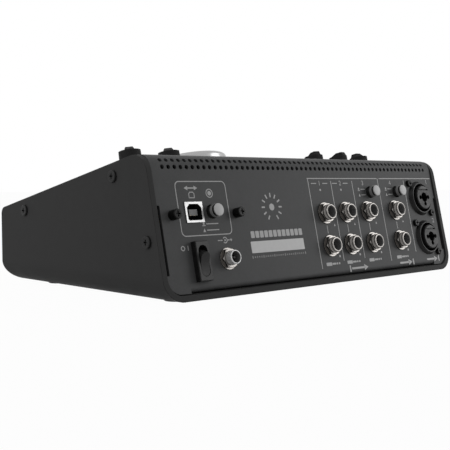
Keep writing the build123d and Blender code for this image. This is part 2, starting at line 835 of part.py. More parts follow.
def build_rocker():
    """Dished rocker on two pins, tipped so that its upper end stands out. It clears the well either way."""
    reach = power_bezel_height / 2 - power_end_wall - rocker_clearance
    tilt = radians(rocker_tilt)
    crown = (reach - rocker_crown * sin(tilt)) / cos(tilt)
    foot = (reach - rocker_foot * sin(tilt)) / cos(tilt)
    sides = Polyline((-crown, rocker_crown), (-foot, rocker_foot), (-rocker_heel_reach, -rocker_heel),
                     (rocker_heel_reach, -rocker_heel), (foot, rocker_foot), (crown, rocker_crown))
    dish = ThreePointArc((crown, rocker_crown), (0, rocker_crown - rocker_dish), (-crown, rocker_crown))
    rocker = along_x(make_face([*sides.edges(), *dish.edges()]), power_bezel_width / 2)
    clear = power_well(rocker_clearance, -reach, 2 * reach)
    rocker &= Rot(rocker_tilt, 0, 0) * clear
    rocker &= Rot(-rocker_tilt, 0, 0) * clear
    pin_length = power_body_width() - 2 * rocker_clearance
    rocker += Rot(0, 90, 0) * Cylinder(rocker_pin_radius, pin_length)
    return power_place * Pos(0, 0, -rocker_pivot_depth) * Rot(rocker_tilt, 0, 0) * rocker


# ---- Top controls ----

def pot_body(width, length):
    """Potentiometer between the board and the top, with a threaded bushing."""
    body = block(width, length, -main_board_depth, -shell_wall - pot_body_gap)
    body += cylinder(pot_bushing_radius, -main_board_depth, pot_bushing_height)
    bore_low = pot_shaft_seat - main_board_depth - fit_gap
    return body - cylinder(pot_shaft_radius + pot_shaft_clearance, bore_low, pot_bushing_height)


def pot_shaft(height):
    """Turning shaft with a flat above the bushing."""
    shaft = cylinder(pot_shaft_radius, pot_shaft_seat - main_board_depth, height)
    flat = block(2 * pot_shaft_radius, 2 * pot_shaft_radius, pot_bushing_height + knob_pocket_gap, height)
    return shaft - Pos(0, 2 * pot_shaft_radius - pot_shaft_flat, 0) * flat


def small_knob():
    """Pointer knob: tapered body, sloping fin, a bore for the shaft and a pocket over the nut."""
    shoulder = knob_gap + knob_height
    fin_top = shoulder + knob_fin_height
    fin_low = shoulder - knob_fin_root
    body = taper(knob_radius + knob_draft, knob_radius, knob_gap, shoulder)
    fin = [(-knob_fin_reach, fin_low), (-knob_fin_reach, shoulder), (0, fin_top), (knob_fin_flat, fin_top),
           (knob_fin_reach, shoulder), (knob_fin_reach, fin_low)]
    body += along_x(make_face(Polyline(*fin, close=True)), knob_fin_width / 2)
    pocket_top = pot_bushing_height + knob_pocket_gap
    body -= cylinder(pot_nut_radius + knob_pocket_gap, knob_gap, pocket_top)
    return body - pot_shaft(pot_shaft_height)


def volume_cap():
    """Large hollow knob with a rounded rim and a boss for the shaft."""
    top = volume_gap + volume_height
    cap = cylinder(volume_radius, volume_gap, top)
    cap = fillet(cap.edges().sort_by(Axis.Z)[-1], volume_rim)
    cap -= cylinder(volume_radius - volume_wall, volume_gap, top - volume_crown)
    cap += cylinder(volume_boss_radius, pot_bushing_height + knob_pocket_gap, top - volume_crown)
    return cap - pot_shaft(volume_shaft_height)


def top_button():
    """Square button with a retaining flange under the top and a stem that runs in its switch."""
    cap = block(top_button_size, top_button_size, -shell_wall - top_button_clearance, top_button_proud)
    cap = fillet(cap.edges().group_by(Axis.Z)[-1], top_button_edge)
    flange_size = top_button_size + 2 * top_button_flange
    flange_top = -shell_wall - top_button_clearance
    cap += block(flange_size, flange_size, flange_top - top_button_flange, flange_top)
    stem_low = -main_board_depth + top_switch_height - top_stem_grip
    return cap + cylinder(top_stem_radius, stem_low, flange_top - top_button_flange)


def top_switch():
    """Push switch on the main board under a top button."""
    top = -main_board_depth + top_switch_height
    body = block(top_switch_size, top_switch_size, -main_board_depth, top)
    well_low = top - top_stem_grip - top_button_travel - stem_clearance
    return body - cylinder(top_stem_radius + stem_clearance, well_low, top)


# ---- Assembly ----

def placed(shape, places):
    """One copy of a shape at each place, kept as separate solids."""
    return group([place * shape for place in places])


side_screw_length = tray_wall + shell_side_gap + shell_wall + screw_end
side_screw = phillips_screw(case_screw_head_radius, case_screw_head_height, side_screw_length)
post_screw = phillips_screw(post_screw_head_radius, post_screw_head_height, board_screw_length)
combo_screw = phillips_screw(combo_screw_head_radius, combo_screw_head_height, board_screw_length)
jack_washer = washer(jack_washer_radius, jack_washer_height, jack_barrel_radius + fit_gap)
jack_nut = Pos(0, 0, jack_washer_height) * hex_nut(jack_nut_radius, jack_nut_height,
                                                   jack_barrel_radius + fit_gap)
dc_washer = washer(dc_washer_radius, dc_washer_height, dc_barrel_radius + fit_gap)
dc_nut = Pos(0, 0, dc_washer_height) * hex_nut(dc_nut_radius, dc_nut_height, dc_barrel_radius + fit_gap)
pot_nut = hex_nut(pot_nut_radius, pot_nut_height, pot_bushing_radius + fit_gap)
line_jack = jack_socket(jack_body_height, io_board_depth, jack_barrel_height)
headphone_jack = jack_socket(headphone_body_height, headphone_body_depth, headphone_barrel_height)
microphone = cylinder(mic_radius, -shell_wall - mic_depth, -shell_wall)

nodes = {
    "chassis_tray": build_tray(),
    "top_shell": build_shell(),
    "rubber_feet": placed(build_foot(), foot_places),
    "foot_screws": placed(build_foot_screw(), foot_places),
    "side_screws": placed(side_screw, side_screw_places),
    "main_board": build_main_board(),
    "main_board_standoffs": placed(standoff(-main_board_depth, -shell_wall), main_standoff_places),
    "io_board": build_io_board(),
    "io_board_standoffs": placed(standoff(-io_board_depth, -shell_wall), post_places),
    "board_screws": group([place * board_screw(main_board_depth) for place in main_standoff_places]
                          + [place * board_screw(io_board_depth) for place in post_places]),
    "flat_cable": build_cable(),
    "usb_socket_shell": build_usb_shell(),
    "usb_socket_insert": build_usb_insert(),
    "post_screws": placed(post_screw, post_places),
    "rear_button_switches": placed(rear_switch(), rear_buttons.values()),
    "power_switch_frame": build_power_frame(),
    "power_rocker": build_rocker(),
    "dc_jack": build_dc_jack(),
    "dc_jack_washer": dc_place * dc_washer,
    "dc_jack_nut": dc_place * dc_nut,
    "headphone_jacks": placed(headphone_jack, headphone_places),
    "jack_washers": placed(jack_washer, jack_places),
    "jack_nuts": placed(jack_nut, jack_places),
    "combo_jack_screws": placed(combo_screw, combo_screw_places),
    "potentiometers": placed(pot_body(pot_body_width, pot_body_length), knob_places.values()),
    "volume_potentiometer": volume_place * pot_body(volume_pot_width, volume_pot_width),
    "potentiometer_nuts": placed(pot_nut, [*knob_places.values(), volume_place]),
    "volume_knob": volume_place * Rot(0, 0, volume_turn) * volume_cap(),
    "volume_shaft": volume_place * Rot(0, 0, volume_turn) * pot_shaft(volume_shaft_height),
    "top_button_switches": placed(top_switch(), top_buttons.values()),
    "level_lights": placed(cylinder(light_radius, -main_board_depth, light_proud), light_places),
    "talkback_microphone": mic_place * microphone,
}
for name, x in jack_pairs.items():
    nodes[name] = placed(line_jack, [rear_plane(x, row) for row in jack_rows])
for name, row in combo_rows.items():
    nodes[name] = rear_plane(combo_x, row) * combo_socket()
for name, place in rear_buttons.items():
    nodes[name] = place * rear_cap()
for name, place in top_buttons.items():
    nodes[name] = place * top_button()
for name, (x, turn) in knobs.items():
    nodes[name + "_knob"] = knob_places[name] * Rot(0, 0, turn) * small_knob()
    nodes[name + "_shaft"] = knob_places[name] * Rot(0, 0, turn) * pot_shaft(pot_shaft_height)

# The origin is under the middle of the finished part, level with the feet.
extent = group(nodes.values()).bounding_box()
home = Pos(0, -(extent.min.Y + extent.max.Y) / 2, -extent.min.Z)

os.makedirs("parts", exist_ok=True)
for name, shape in nodes.items():
    export_step(home * shape, f"parts/{name}.step")
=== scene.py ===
import json
from math import atan2, cos, degrees, pi, radians, sin

import bmesh
import bpy
from mathutils import Matrix, Vector


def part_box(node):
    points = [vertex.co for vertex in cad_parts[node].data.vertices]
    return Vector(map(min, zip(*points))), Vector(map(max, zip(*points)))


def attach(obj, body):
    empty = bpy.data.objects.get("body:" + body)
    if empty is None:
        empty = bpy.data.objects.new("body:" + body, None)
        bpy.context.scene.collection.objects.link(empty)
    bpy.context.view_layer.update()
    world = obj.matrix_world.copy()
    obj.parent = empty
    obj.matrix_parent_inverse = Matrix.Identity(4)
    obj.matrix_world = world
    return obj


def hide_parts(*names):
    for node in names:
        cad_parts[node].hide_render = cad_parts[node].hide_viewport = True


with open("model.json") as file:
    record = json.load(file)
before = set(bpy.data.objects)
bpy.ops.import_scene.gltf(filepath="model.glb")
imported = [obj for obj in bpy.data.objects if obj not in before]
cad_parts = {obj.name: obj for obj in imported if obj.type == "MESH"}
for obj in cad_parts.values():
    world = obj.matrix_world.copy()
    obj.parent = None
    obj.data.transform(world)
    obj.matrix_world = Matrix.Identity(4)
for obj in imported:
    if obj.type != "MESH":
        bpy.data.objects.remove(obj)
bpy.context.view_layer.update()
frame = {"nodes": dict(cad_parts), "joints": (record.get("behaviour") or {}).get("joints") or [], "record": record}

# Looks of the studio monitor controller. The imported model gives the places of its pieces. The printed marks
# have places of their own on the rear panel's plane, read from the photograph. Sizes named here are in
# millimetres unless they say otherwise; MM turns them into the metres that the frame is in.

MM = 0.001
nodes = frame["nodes"]
joints = {joint["name"]: joint for joint in frame["joints"]}
mounts = {mount["name"]: mount for mount in frame["record"]["mounts"]}


def add_object(name, data):
    """New object in the scene."""
    made = bpy.data.objects.new(name, data)
    bpy.context.scene.collection.objects.link(made)
    return made


def axes_matrix(x_axis, y_axis, z_axis):
    """Turn that brings the world's axes to three others."""
    return Matrix((x_axis, y_axis, z_axis)).transposed().to_4x4()


# ---- Camera, at the photograph's place and turn ----

camera_place = (0.384115, 0.399885, 0.061522)      # in metres
camera_yaw = radians(223.035)
camera_pitch = radians(2.803)
camera_roll = radians(-0.247)
camera_lens = 67.3285
camera_sensor = 36.0
camera_near = 0.01            # clipping distances, in metres
camera_far = 20.0


def make_camera():
    """Camera whose view matches the photograph's frame."""
    reach = cos(camera_pitch)
    ahead = Vector((sin(camera_yaw) * reach, cos(camera_yaw) * reach, -sin(camera_pitch)))
    level = Vector((cos(camera_yaw), -sin(camera_yaw), 0))
    above = level.cross(ahead)
    right = level * cos(camera_roll) + above * sin(camera_roll)
    up = above * cos(camera_roll) - level * sin(camera_roll)
    data = bpy.data.cameras.new("camera")
    data.lens = camera_lens
    data.sensor_width = camera_sensor
    data.sensor_fit = "HORIZONTAL"
    data.clip_start = camera_near
    data.clip_end = camera_far
    camera = add_object("camera", data)
    camera.matrix_world = Matrix.Translation(camera_place) @ axes_matrix(right, up, -ahead)
    bpy.context.scene.camera = camera


# ---- Working planes ----

class Place:
    """Flat working plane. Its points are given in millimetres across, up and outward."""

    def __init__(self, origin, across, outward):
        self.origin = Vector(origin)
        self.across = Vector(across).normalized()
        self.outward = Vector(outward).normalized()
        self.up = self.outward.cross(self.across)

    def at(self, x, y, out=0.0):
        """Point of the plane, in the frame's metres."""
        return self.origin + (self.across * x + self.up * y + self.outward * out) * MM

    def moved(self, x, y, out=0.0):
        """The same plane, with its origin at one of its points."""
        return Place(self.at(x, y, out), self.across, self.outward)

    def turned(self, angle):
        """The same plane, turned counterclockwise by an angle in degrees."""
        turn = radians(angle)
        return Place(self.origin, self.across * cos(turn) + self.up * sin(turn), self.outward)

    def matrix(self):
        """Place and turn of an object that lies on the plane."""
        return Matrix.Translation(self.origin) @ axes_matrix(self.across, self.up, self.outward)

    def local(self, point):
        """(across, up, outward) of a point, in millimetres."""
        offset = (Vector(point) - self.origin) / MM
        return offset.dot(self.across), offset.dot(self.up), offset.dot(self.outward)


def node_points(name, place):
    """A node's vertices in a plane's own millimetres."""
    return [place.local(vertex.co) for vertex in nodes[name].data.vertices]


def node_place(name, plane):
    """The plane moved to the middle of a node, on its own surface."""
    points = node_points(name, plane)
    x = (min(p[0] for p in points) + max(p[0] for p in points)) / 2
    y = (min(p[1] for p in points) + max(p[1] for p in points)) / 2
    return plane.moved(x, y)


def node_reach(name, place):
    """How far a node stands out of a plane."""
    return max(p[2] for p in node_points(name, place))


rear_out = -Vector(joints["source_button_push"]["axis"])
top_out = Vector(joints["volume_turn"]["axis"])
seen_from_rear = Vector((-1, 0, 0))
seen_from_front = Vector((1, 0, 0))
jack_mount_depth = 5.0        # the jacks' mounts lie this far inside the panel
jack_pairs = ("monitor_b", "monitor_a", "two_track", "source")

# The rear panel's plane has its origin where the panel's middle line meets the tray's lowest level.
tray_low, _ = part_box("chassis_tray")
first_jack = mounts["source_right_jack"]
jack_point = Vector(first_jack["pos_m"]) + rear_out * jack_mount_depth * MM
panel_up = Vector((0, -rear_out.z, rear_out.y))
foot_of_panel = jack_point - panel_up * ((jack_point.z - tray_low.z) / rear_out.y)
rear = Place((0, foot_of_panel.y, foot_of_panel.z), seen_from_rear, rear_out)


def node_centre(name):
    """A node's middle across the rear panel."""
    return rear.local(node_place(name, rear).origin)[0]


def rear_mount(name):
    """Plane on the rear panel round a socket."""
    x, y, _ = rear.local(mounts[name]["pos_m"])
    return rear.moved(x, y)


def pair_place(pair):
    """A jack pair's place across the panel, and the rows of its upper and lower jack."""
    x, upper, _ = rear.local(mounts[pair + "_left_jack"]["pos_m"])
    _, lower, _ = rear.local(mounts[pair + "_right_jack"]["pos_m"])
    return x, upper, lower


def top_joint(name):
    """Plane on the top round a knob."""
    return Place(joints[name]["pos_m"], seen_from_front, top_out)


def rest_turn(name):
    """Angle of a knob's pointer at rest, counterclockwise from the rear, in degrees."""
    low, high = joints[name]["range_deg"]
    return -(low + high) / 2


# ---- Mesh helpers ----

turn_segments = 72
circle_corners = 24
corner_steps = 6
least_mitre = 0.3             # keeps a line's sharp corners from being drawn out far
merge_distance = 0.002
crease_angle = 32.0
bevel_segments = 2
number_resolution = 3


def arc(centre_x, centre_y, radius, start, end, steps):
    """Points on an arc, with angles in degrees."""
    turns = [radians(start + (end - start) * step / steps) for step in range(steps + 1)]
    return [(centre_x + radius * cos(turn), centre_y + radius * sin(turn)) for turn in turns]


def circle(centre_x, centre_y, radius, corners=circle_corners):
    """Outline of a circle."""
    return arc(centre_x, centre_y, radius, 0, 360 * (corners - 1) / corners, corners - 1)


def rounded_box(width, height, radius, centre_x=0.0, centre_y=0.0, steps=corner_steps):
    """Outline of a rectangle with rounded corners."""
    half_x = width / 2 - radius
    half_y = height / 2 - radius
    points = []
    for side_x, side_y, start in ((1, 1, 0), (-1, 1, 90), (-1, -1, 180), (1, -1, 270)):
        corner_x = centre_x + side_x * half_x
        corner_y = centre_y + side_y * half_y
        points += arc(corner_x, corner_y, radius, start, start + 90, steps)
    return points


def bevelled(width, height, upper, lower):
    """Outline of a rectangle with bevelled corners."""
    x, y = width / 2, height / 2
    return [(x, lower - y), (x, y - upper), (x - upper, y), (upper - x, y), (-x, y - upper), (-x, lower - y),
            (lower - x, -y), (x - lower, -y)]


def lathe(mesh, place, profile, finish=0, segments=turn_segments):
    """Surface turned round a plane's outward axis from (radius, outward) points."""
    rings = []
    for radius, out in profile:
        count = segments if radius > 0 else 1
        turns = [2 * pi * step / segments for step in range(count)]
        points = [place.at(radius * cos(turn), radius * sin(turn), out) for turn in turns]
        rings.append([mesh.verts.new(point) for point in points])
    for low, high in zip(rings, rings[1:]):
        for step in range(segments):
            after = (step + 1) % segments
            corners = [low[step % len(low)], low[after % len(low)],
                       high[after % len(high)], high[step % len(high)]]
            unique = list(dict.fromkeys(corners))
            if len(unique) > 2:
                mesh.faces.new(unique).material_index = finish


def prism(mesh, place, outline, low, high, finish=0):
    """Solid over a flat outline."""
    bottom = [mesh.verts.new(place.at(x, y, low)) for x, y in outline]
    top = [mesh.verts.new(place.at(x, y, high)) for x, y in outline]
    mesh.faces.new(bottom[::-1]).material_index = finish
    mesh.faces.new(top).material_index = finish
    for step, corner in enumerate(bottom):
        after = (step + 1) % len(bottom)
        mesh.faces.new((corner, bottom[after], top[after], top[step])).material_index = finish


def tube(mesh, place, outer, inner, low, high, inside_finish=0):
    """Hollow prism between two outlines with the same number of points."""
    loops = [[mesh.verts.new(place.at(x, y, out)) for x, y in outline]
             for outline, out in ((outer, low), (outer, high), (inner, high), (inner, low))]
    finishes = (0, 0, inside_finish, 0)        # outer wall, front rim, inner wall, back rim
    for index, loop in enumerate(loops):
        following = loops[(index + 1) % len(loops)]
        for step, corner in enumerate(loop):
            after = (step + 1) % len(loop)
            face = mesh.faces.new((corner, loop[after], following[after], following[step]))
            face.material_index = finishes[index]


def side_points(line, half, closed):
    """Points beside a flat line, half a width to its left, with mitred corners."""
    count = len(line)
    points = []
    for index, (x, y) in enumerate(line):
        before = line[index - 1] if closed or index > 0 else None
        after = line[(index + 1) % count] if closed or index < count - 1 else None
        normals = []
        for start, end in ((before, (x, y)), ((x, y), after)):
            if start is not None and end is not None:
                run = Vector((end[0] - start[0], end[1] - start[1])).normalized()
                normals.append(Vector((-run.y, run.x)))
        mitre = sum(normals, Vector((0, 0))).normalized()
        stretch = half / max(mitre.dot(normals[0]), least_mitre)
        points.append((x + mitre.x * stretch, y + mitre.y * stretch))
    return points


def ribbon(mesh, place, line, width, low, high, closed=False):
    """Raised line of a given width along flat points."""
    left = side_points(line, width / 2, closed)
    right = side_points(line, -width / 2, closed)
    if closed:
        tube(mesh, place, right, left, low, high)
    else:
        prism(mesh, place, right + left[::-1], low, high)


def spoke(mesh, place, angle, start, end, width, low, high):
    """Short radial line, its angle counterclockwise from the plane's up."""
    ribbon(mesh, place.turned(angle), [(0, start), (0, end)], width, low, high)


def add_piece(mesh, name, body, finishes, bevel=0.0):
    """Object from a mesh, with smooth faces and sharp creases, riding on a body."""
    bmesh.ops.remove_doubles(mesh, verts=mesh.verts, dist=merge_distance * MM)
    bmesh.ops.recalc_face_normals(mesh, faces=mesh.faces)
    for face in mesh.faces:
        face.smooth = True
    for edge in mesh.edges:
        edge.smooth = edge.calc_face_angle(0.0) < radians(crease_angle)
    data = bpy.data.meshes.new(name)
    mesh.to_mesh(data)
    mesh.free()
    for finish in finishes:
        data.materials.append(finish)
    piece = add_object(name, data)
    if bevel:
        modifier = piece.modifiers.new("rounded_edges", "BEVEL")
        modifier.width = bevel * MM
        modifier.segments = bevel_segments
        modifier.limit_method = "ANGLE"
        modifier.angle_limit = radians(crease_angle)
        modifier.harden_normals = True
    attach(piece, body)
    return piece


def add_number(text, name, place, size, body):
    """Printed number, centred on a plane's origin."""
    curve = bpy.data.curves.new(name, "FONT")
    curve.body = text
    curve.size = size * MM
    curve.extrude = print_thickness * MM / 2
    curve.align_x = "CENTER"
    curve.align_y = "CENTER"
    curve.resolution_u = number_resolution
    curve.materials.append(ink)
    piece = add_object(name, curve)
    piece.matrix_world = place.moved(0, 0, print_low).matrix()
    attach(piece, body)


# ---- Materials ----

noise_low = 0.3               # most of the noise lies between these two
noise_high = 0.7
fine_share = 0.45             # parts of the fine and the broad noise in a surface's tone
broad_share = 0.55
broad_scale = 14.0            # of the fine noise's grain
broad_detail = 3.0
relief_depth = 0.02
coat_roughness = 0.2
edge_samples = 6
mix_factor, mix_first, mix_second, mix_result = 0, 6, 7, 2      # a colour mix node's sockets


def texture(tree, scale_mm, detail=2.0, stretch=None):
    """Noise whose grains measure about scale_mm, in the object's own space."""
    coordinates = tree.nodes.new("ShaderNodeTexCoord")
    source = coordinates.outputs["Object"]
    if stretch:
        mapping = tree.nodes.new("ShaderNodeMapping")
        mapping.inputs["Scale"].default_value = stretch
        tree.links.new(source, mapping.inputs["Vector"])
        source = mapping.outputs["Vector"]
    noise = tree.nodes.new("ShaderNodeTexNoise")
    noise.inputs["Scale"].default_value = 1 / (scale_mm * MM)
    noise.inputs["Detail"].default_value = detail
    tree.links.new(source, noise.inputs["Vector"])
    return noise.outputs["Fac"]


def spread(tree, source, low, high):
    """Noise values moved to a range."""
    node = tree.nodes.new("ShaderNodeMapRange")
    node.inputs["From Min"].default_value = noise_low
    node.inputs["From Max"].default_value = noise_high
    node.inputs["To Min"].default_value = low
    node.inputs["To Max"].default_value = high
    tree.links.new(source, node.inputs["Value"])
    return node.outputs["Result"]


def surface(name, dark, light, grain, roughness, metallic=0.0, specular=0.5, relief=0.15, edge=0.0,
            coat=0.0, stretch=None):
    """Material with two tones that drift into each other, fine relief, uneven gloss and softened edges."""
    made = bpy.data.materials.new(name)
    made.use_nodes = True
    tree = made.node_tree
    shader = tree.nodes["Principled BSDF"]
    shader.inputs["Metallic"].default_value = metallic
    shader.inputs["Specular IOR Level"].default_value = specular
    shader.inputs["Coat Weight"].default_value = coat
    shader.inputs["Coat Roughness"].default_value = coat_roughness
    fine = texture(tree, grain, stretch=stretch)
    broad = texture(tree, grain * broad_scale, detail=broad_detail)
    blend = tree.nodes.new("ShaderNodeMath")
    blend.operation = "MULTIPLY_ADD"
    blend.inputs[1].default_value = fine_share
    tree.links.new(fine, blend.inputs[0])
    tree.links.new(spread(tree, broad, 0.0, broad_share), blend.inputs[2])
    mix = tree.nodes.new("ShaderNodeMix")
    mix.data_type = "RGBA"
    mix.inputs[mix_first].default_value = (*dark, 1)
    mix.inputs[mix_second].default_value = (*light, 1)
    tree.links.new(blend.outputs["Value"], mix.inputs[mix_factor])
    tree.links.new(mix.outputs[mix_result], shader.inputs["Base Color"])
    tree.links.new(spread(tree, broad, *roughness), shader.inputs["Roughness"])
    bump = tree.nodes.new("ShaderNodeBump")
    bump.inputs["Strength"].default_value = relief
    bump.inputs["Distance"].default_value = relief_depth * MM
    tree.links.new(fine, bump.inputs["Height"])
    if edge:
        bevel = tree.nodes.new("ShaderNodeBevel")
        bevel.samples = edge_samples
        bevel.inputs["Radius"].default_value = edge * MM
        tree.links.new(bevel.outputs["Normal"], bump.inputs["Normal"])
    tree.links.new(bump.outputs["Normal"], shader.inputs["Normal"])
    return made


def grey(value, tint=0.0):
    """Neutral colour, a little bluer with a positive tint and warmer with a negative one."""
    return (value * (1 - tint), value, value * (1 + tint))


case_paint = surface("case_paint", grey(0.043), grey(0.053), 0.6, (0.6, 0.7), specular=0.06, relief=0.3,
                     edge=0.5)
panel_paint = surface("panel_paint", grey(0.058, 0.012), grey(0.094, 0.012), 0.8, (0.5, 0.6), specular=0.12,
                      relief=0.4, edge=0.35)
case_screw = surface("case_screw", grey(0.014), grey(0.020), 0.2, (0.35, 0.45), specular=0.15, edge=0.15)
black_screw = surface("black_screw", grey(0.003), grey(0.006), 0.2, (0.25, 0.38), specular=0.12, edge=0.15)
rubber = surface("rubber", grey(0.018), grey(0.026), 0.5, (0.75, 0.9), specular=0.2, relief=0.4, edge=0.3)
board = surface("board", (0.008, 0.055, 0.026), (0.012, 0.075, 0.036), 1.2, (0.3, 0.45), edge=0.1)
brass = surface("brass", (0.52, 0.36, 0.13), (0.62, 0.45, 0.18), 0.3, (0.25, 0.4), metallic=1.0, edge=0.15)
cable = surface("cable", grey(0.42), grey(0.5), 0.8, (0.45, 0.6), stretch=(6, 1, 1))
nickel = surface("nickel", grey(0.15, -0.05), grey(0.22, -0.05), 0.4, (0.18, 0.28), metallic=1.0, relief=0.1,
                 edge=0.12)
# Near-black metal for the DC inlet's centre pin: painted shade deep in its bore.
pin_nickel_painted_shade = surface("pin_nickel_painted_shade", grey(0.012), grey(0.02), 0.4, (0.3, 0.4), metallic=1.0, relief=0.1)
satin_nickel = surface("satin_nickel", grey(0.55), grey(0.62), 0.3, (0.42, 0.52), metallic=0.4, edge=0.2)
bright_tin = surface("bright_tin", grey(0.36), grey(0.43), 0.5, (0.3, 0.42), metallic=1.0, relief=0.08,
                     edge=0.1)
steel = surface("steel", grey(0.42), grey(0.52), 0.3, (0.25, 0.4), metallic=1.0, edge=0.1, stretch=(1, 1, 5))
black_plastic = surface("black_plastic", grey(0.006), grey(0.010), 0.25, (0.38, 0.5), specular=0.2, edge=0.25)
# Grey for the power switch's face plate: a painted reflection of the lamp on the black frame's front.
painted_sheen_plastic = surface("painted_sheen_plastic", grey(0.036), grey(0.044), 0.25, (0.4, 0.5), specular=0.2, edge=0.2)
# Dark plastic of the combination inlets' latch tabs, and painted shade on the rear buttons' plungers and in their
# grooves.
core_plastic_and_shade = surface("core_plastic_and_shade", grey(0.018), grey(0.024), 0.25, (0.38, 0.48), specular=0.25, edge=0.15)
knob_black = surface("knob_black", grey(0.021), grey(0.027), 0.3, (0.6, 0.75), specular=0.08, edge=0.35)
button_grey = surface("button_grey", grey(0.52), grey(0.57), 0.3, (0.4, 0.5), specular=0.2, edge=0.2)
# Darker copy of the button grey for the caps' lips: painted shade on the caps' sides.
cap_side_painted_shade = surface("cap_side_painted_shade", grey(0.21), grey(0.25), 0.3, (0.4, 0.5), specular=0.2, edge=0.2)
ink = surface("ink", grey(0.4), grey(0.5), 0.15, (0.5, 0.65), specular=0.3, relief=0.3)
bar_ink = surface("bar_ink", grey(0.60), grey(0.66), 0.2, (0.5, 0.6), specular=0.2)
liner_plastic = surface("liner_plastic", grey(0.12), grey(0.16), 0.25, (0.4, 0.5), specular=0.2)
tongue_grey = surface("tongue_grey", grey(0.16), grey(0.2), 0.3, (0.4, 0.5), specular=0.3)
dark_ink = surface("dark_ink", grey(0.02), grey(0.03), 0.15, (0.5, 0.6), specular=0.3)
contact = surface("contact", (0.6, 0.45, 0.2), (0.7, 0.55, 0.28), 0.3, (0.2, 0.35), metallic=1.0)
green_lens = surface("green_lens", (0.02, 0.22, 0.05), (0.03, 0.3, 0.08), 0.4, (0.1, 0.2), coat=0.5)
amber_lens = surface("amber_lens", (0.45, 0.2, 0.02), (0.55, 0.26, 0.03), 0.4, (0.1, 0.2), coat=0.5)
red_lens = surface("red_lens", (0.35, 0.02, 0.02), (0.45, 0.03, 0.03), 0.4, (0.1, 0.2), coat=0.5)


spin_pitch = 0.25
spin_detail = 3.0
spin_relief = 0.12
spin_depth = 0.02


def vector_math(tree, operation, source, fixed=(0, 0, 0)):
    """Node that works on a vector, with a fixed second one where it takes two."""
    node = tree.nodes.new("ShaderNodeVectorMath")
    node.operation = operation
    node.inputs[1].default_value = fixed
    tree.links.new(source, node.inputs[0])
    return node


def spun_metal(name, place):
    """Satin aluminium with fine rings turned round a plane's axis."""
    made = surface(name, grey(0.36), grey(0.42), 0.5, (0.26, 0.34), metallic=1.0, relief=0.05, edge=0.4)
    tree = made.node_tree
    shader = tree.nodes["Principled BSDF"]
    bump = shader.inputs["Normal"].links[0].from_node
    coordinates = tree.nodes.new("ShaderNodeTexCoord")
    offset = vector_math(tree, "SUBTRACT", coordinates.outputs["Object"], place.origin)
    across = vector_math(tree, "CROSS_PRODUCT", offset.outputs["Vector"], place.outward)
    radius = vector_math(tree, "LENGTH", across.outputs["Vector"])
    rings = tree.nodes.new("ShaderNodeTexNoise")
    rings.noise_dimensions = "1D"
    rings.inputs["Scale"].default_value = 1 / (spin_pitch * MM)
    rings.inputs["Detail"].default_value = spin_detail
    tree.links.new(radius.outputs["Value"], rings.inputs["W"])
    turned = tree.nodes.new("ShaderNodeBump")
    turned.inputs["Strength"].default_value = spin_relief
    turned.inputs["Distance"].default_value = spin_depth * MM
    tree.links.new(rings.outputs["Fac"], turned.inputs["Height"])
    tree.links.new(bump.outputs["Normal"], turned.inputs["Normal"])
    tree.links.new(turned.outputs["Normal"], shader.inputs["Normal"])
    return made


knob_silver = spun_metal("knob_silver", top_joint("volume_turn"))

finish_of_slot = {
    "case_paint": case_paint,
    "panel_paint": panel_paint,
    "black_screw": black_screw,
    "rubber": rubber,
    "board": board,
    "brass": brass,
    "cable": cable,
    "nickel": nickel,
    "steel": steel,
    "black_plastic": black_plastic,
    "knob_black": knob_black,
    "knob_silver": knob_silver,
    "button_grey": button_grey,
    "light_lens": green_lens,
}


def finish_nodes():
    """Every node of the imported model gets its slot's material, and the side screws their own."""
    for part in frame["record"]["subparts"]:
        node = nodes[part["node"]]
        finish = finish_of_slot[part["material_slot"]]
        if not node.material_slots:
            node.data.materials.append(finish)
        for holder in node.material_slots:
            holder.material = finish
    for holder in nodes["side_screws"].material_slots:
        holder.material = case_screw


# ---- Printed lines and marks ----
# Rows are heights up the rear panel's plane, and offsets lie across it, to the right as seen from behind.

print_low = 0.0
print_thickness = 0.04
print_high = print_low + print_thickness
line_width = 0.5

box_left = -109.2
box_right = -74.3
box_low = 33.1
box_high = 61.75
box_radius = 2.6
upper_line_row = 63.45
upper_line_left = -6.9
upper_line_gap_left = 61.05
upper_line_gap_right = 63.55
upper_line_right = 122.1
# Place across, upper end and lower end of each upright line.
dividers = (
    (-6.35, 63.45, 9.0),
    (14.5, 61.9, 12.55),
    (35.0, 61.9, 12.9),
    (61.8, 63.45, 9.3),
    (90.2, 62.1, 13.65),
)
jack_link_half = 2.4
bar_left = -61.8
bar_right = -18.9
bar_low = 21.6
bar_high = 28.05
bar_radius = 0.3


def stroke(mesh, line, width=line_width, closed=False, place=rear):
    """Printed line along flat points."""
    ribbon(mesh, place, line, width, print_low, print_high, closed)


def print_panel_lines():
    """Frame round the computer socket and the lines between the socket groups."""
    mesh = bmesh.new()
    outline = rounded_box(box_right - box_left, box_high - box_low, box_radius,
                          (box_left + box_right) / 2, (box_low + box_high) / 2)
    stroke(mesh, outline, closed=True)
    for start, end in ((upper_line_left, upper_line_gap_left), (upper_line_gap_right, upper_line_right)):
        stroke(mesh, [(start, upper_line_row), (end, upper_line_row)])
    for x, high, low in dividers:
        stroke(mesh, [(x, high), (x, low)])
    for pair in jack_pairs:
        x, upper, lower = pair_place(pair)
        middle = (upper + lower) / 2
        stroke(mesh, [(x, middle - jack_link_half), (x, middle + jack_link_half)])
    add_piece(mesh, "panel_lines", "case", [ink])


def print_light_bar():
    """Plain light bar in the middle of the panel."""
    mesh = bmesh.new()
    outline = rounded_box(bar_right - bar_left, bar_high - bar_low, bar_radius,
                          (bar_left + bar_right) / 2, (bar_low + bar_high) / 2, steps=2)
    prism(mesh, rear, outline, print_low, print_high)
    add_piece(mesh, "light_bar", "case", [bar_ink])


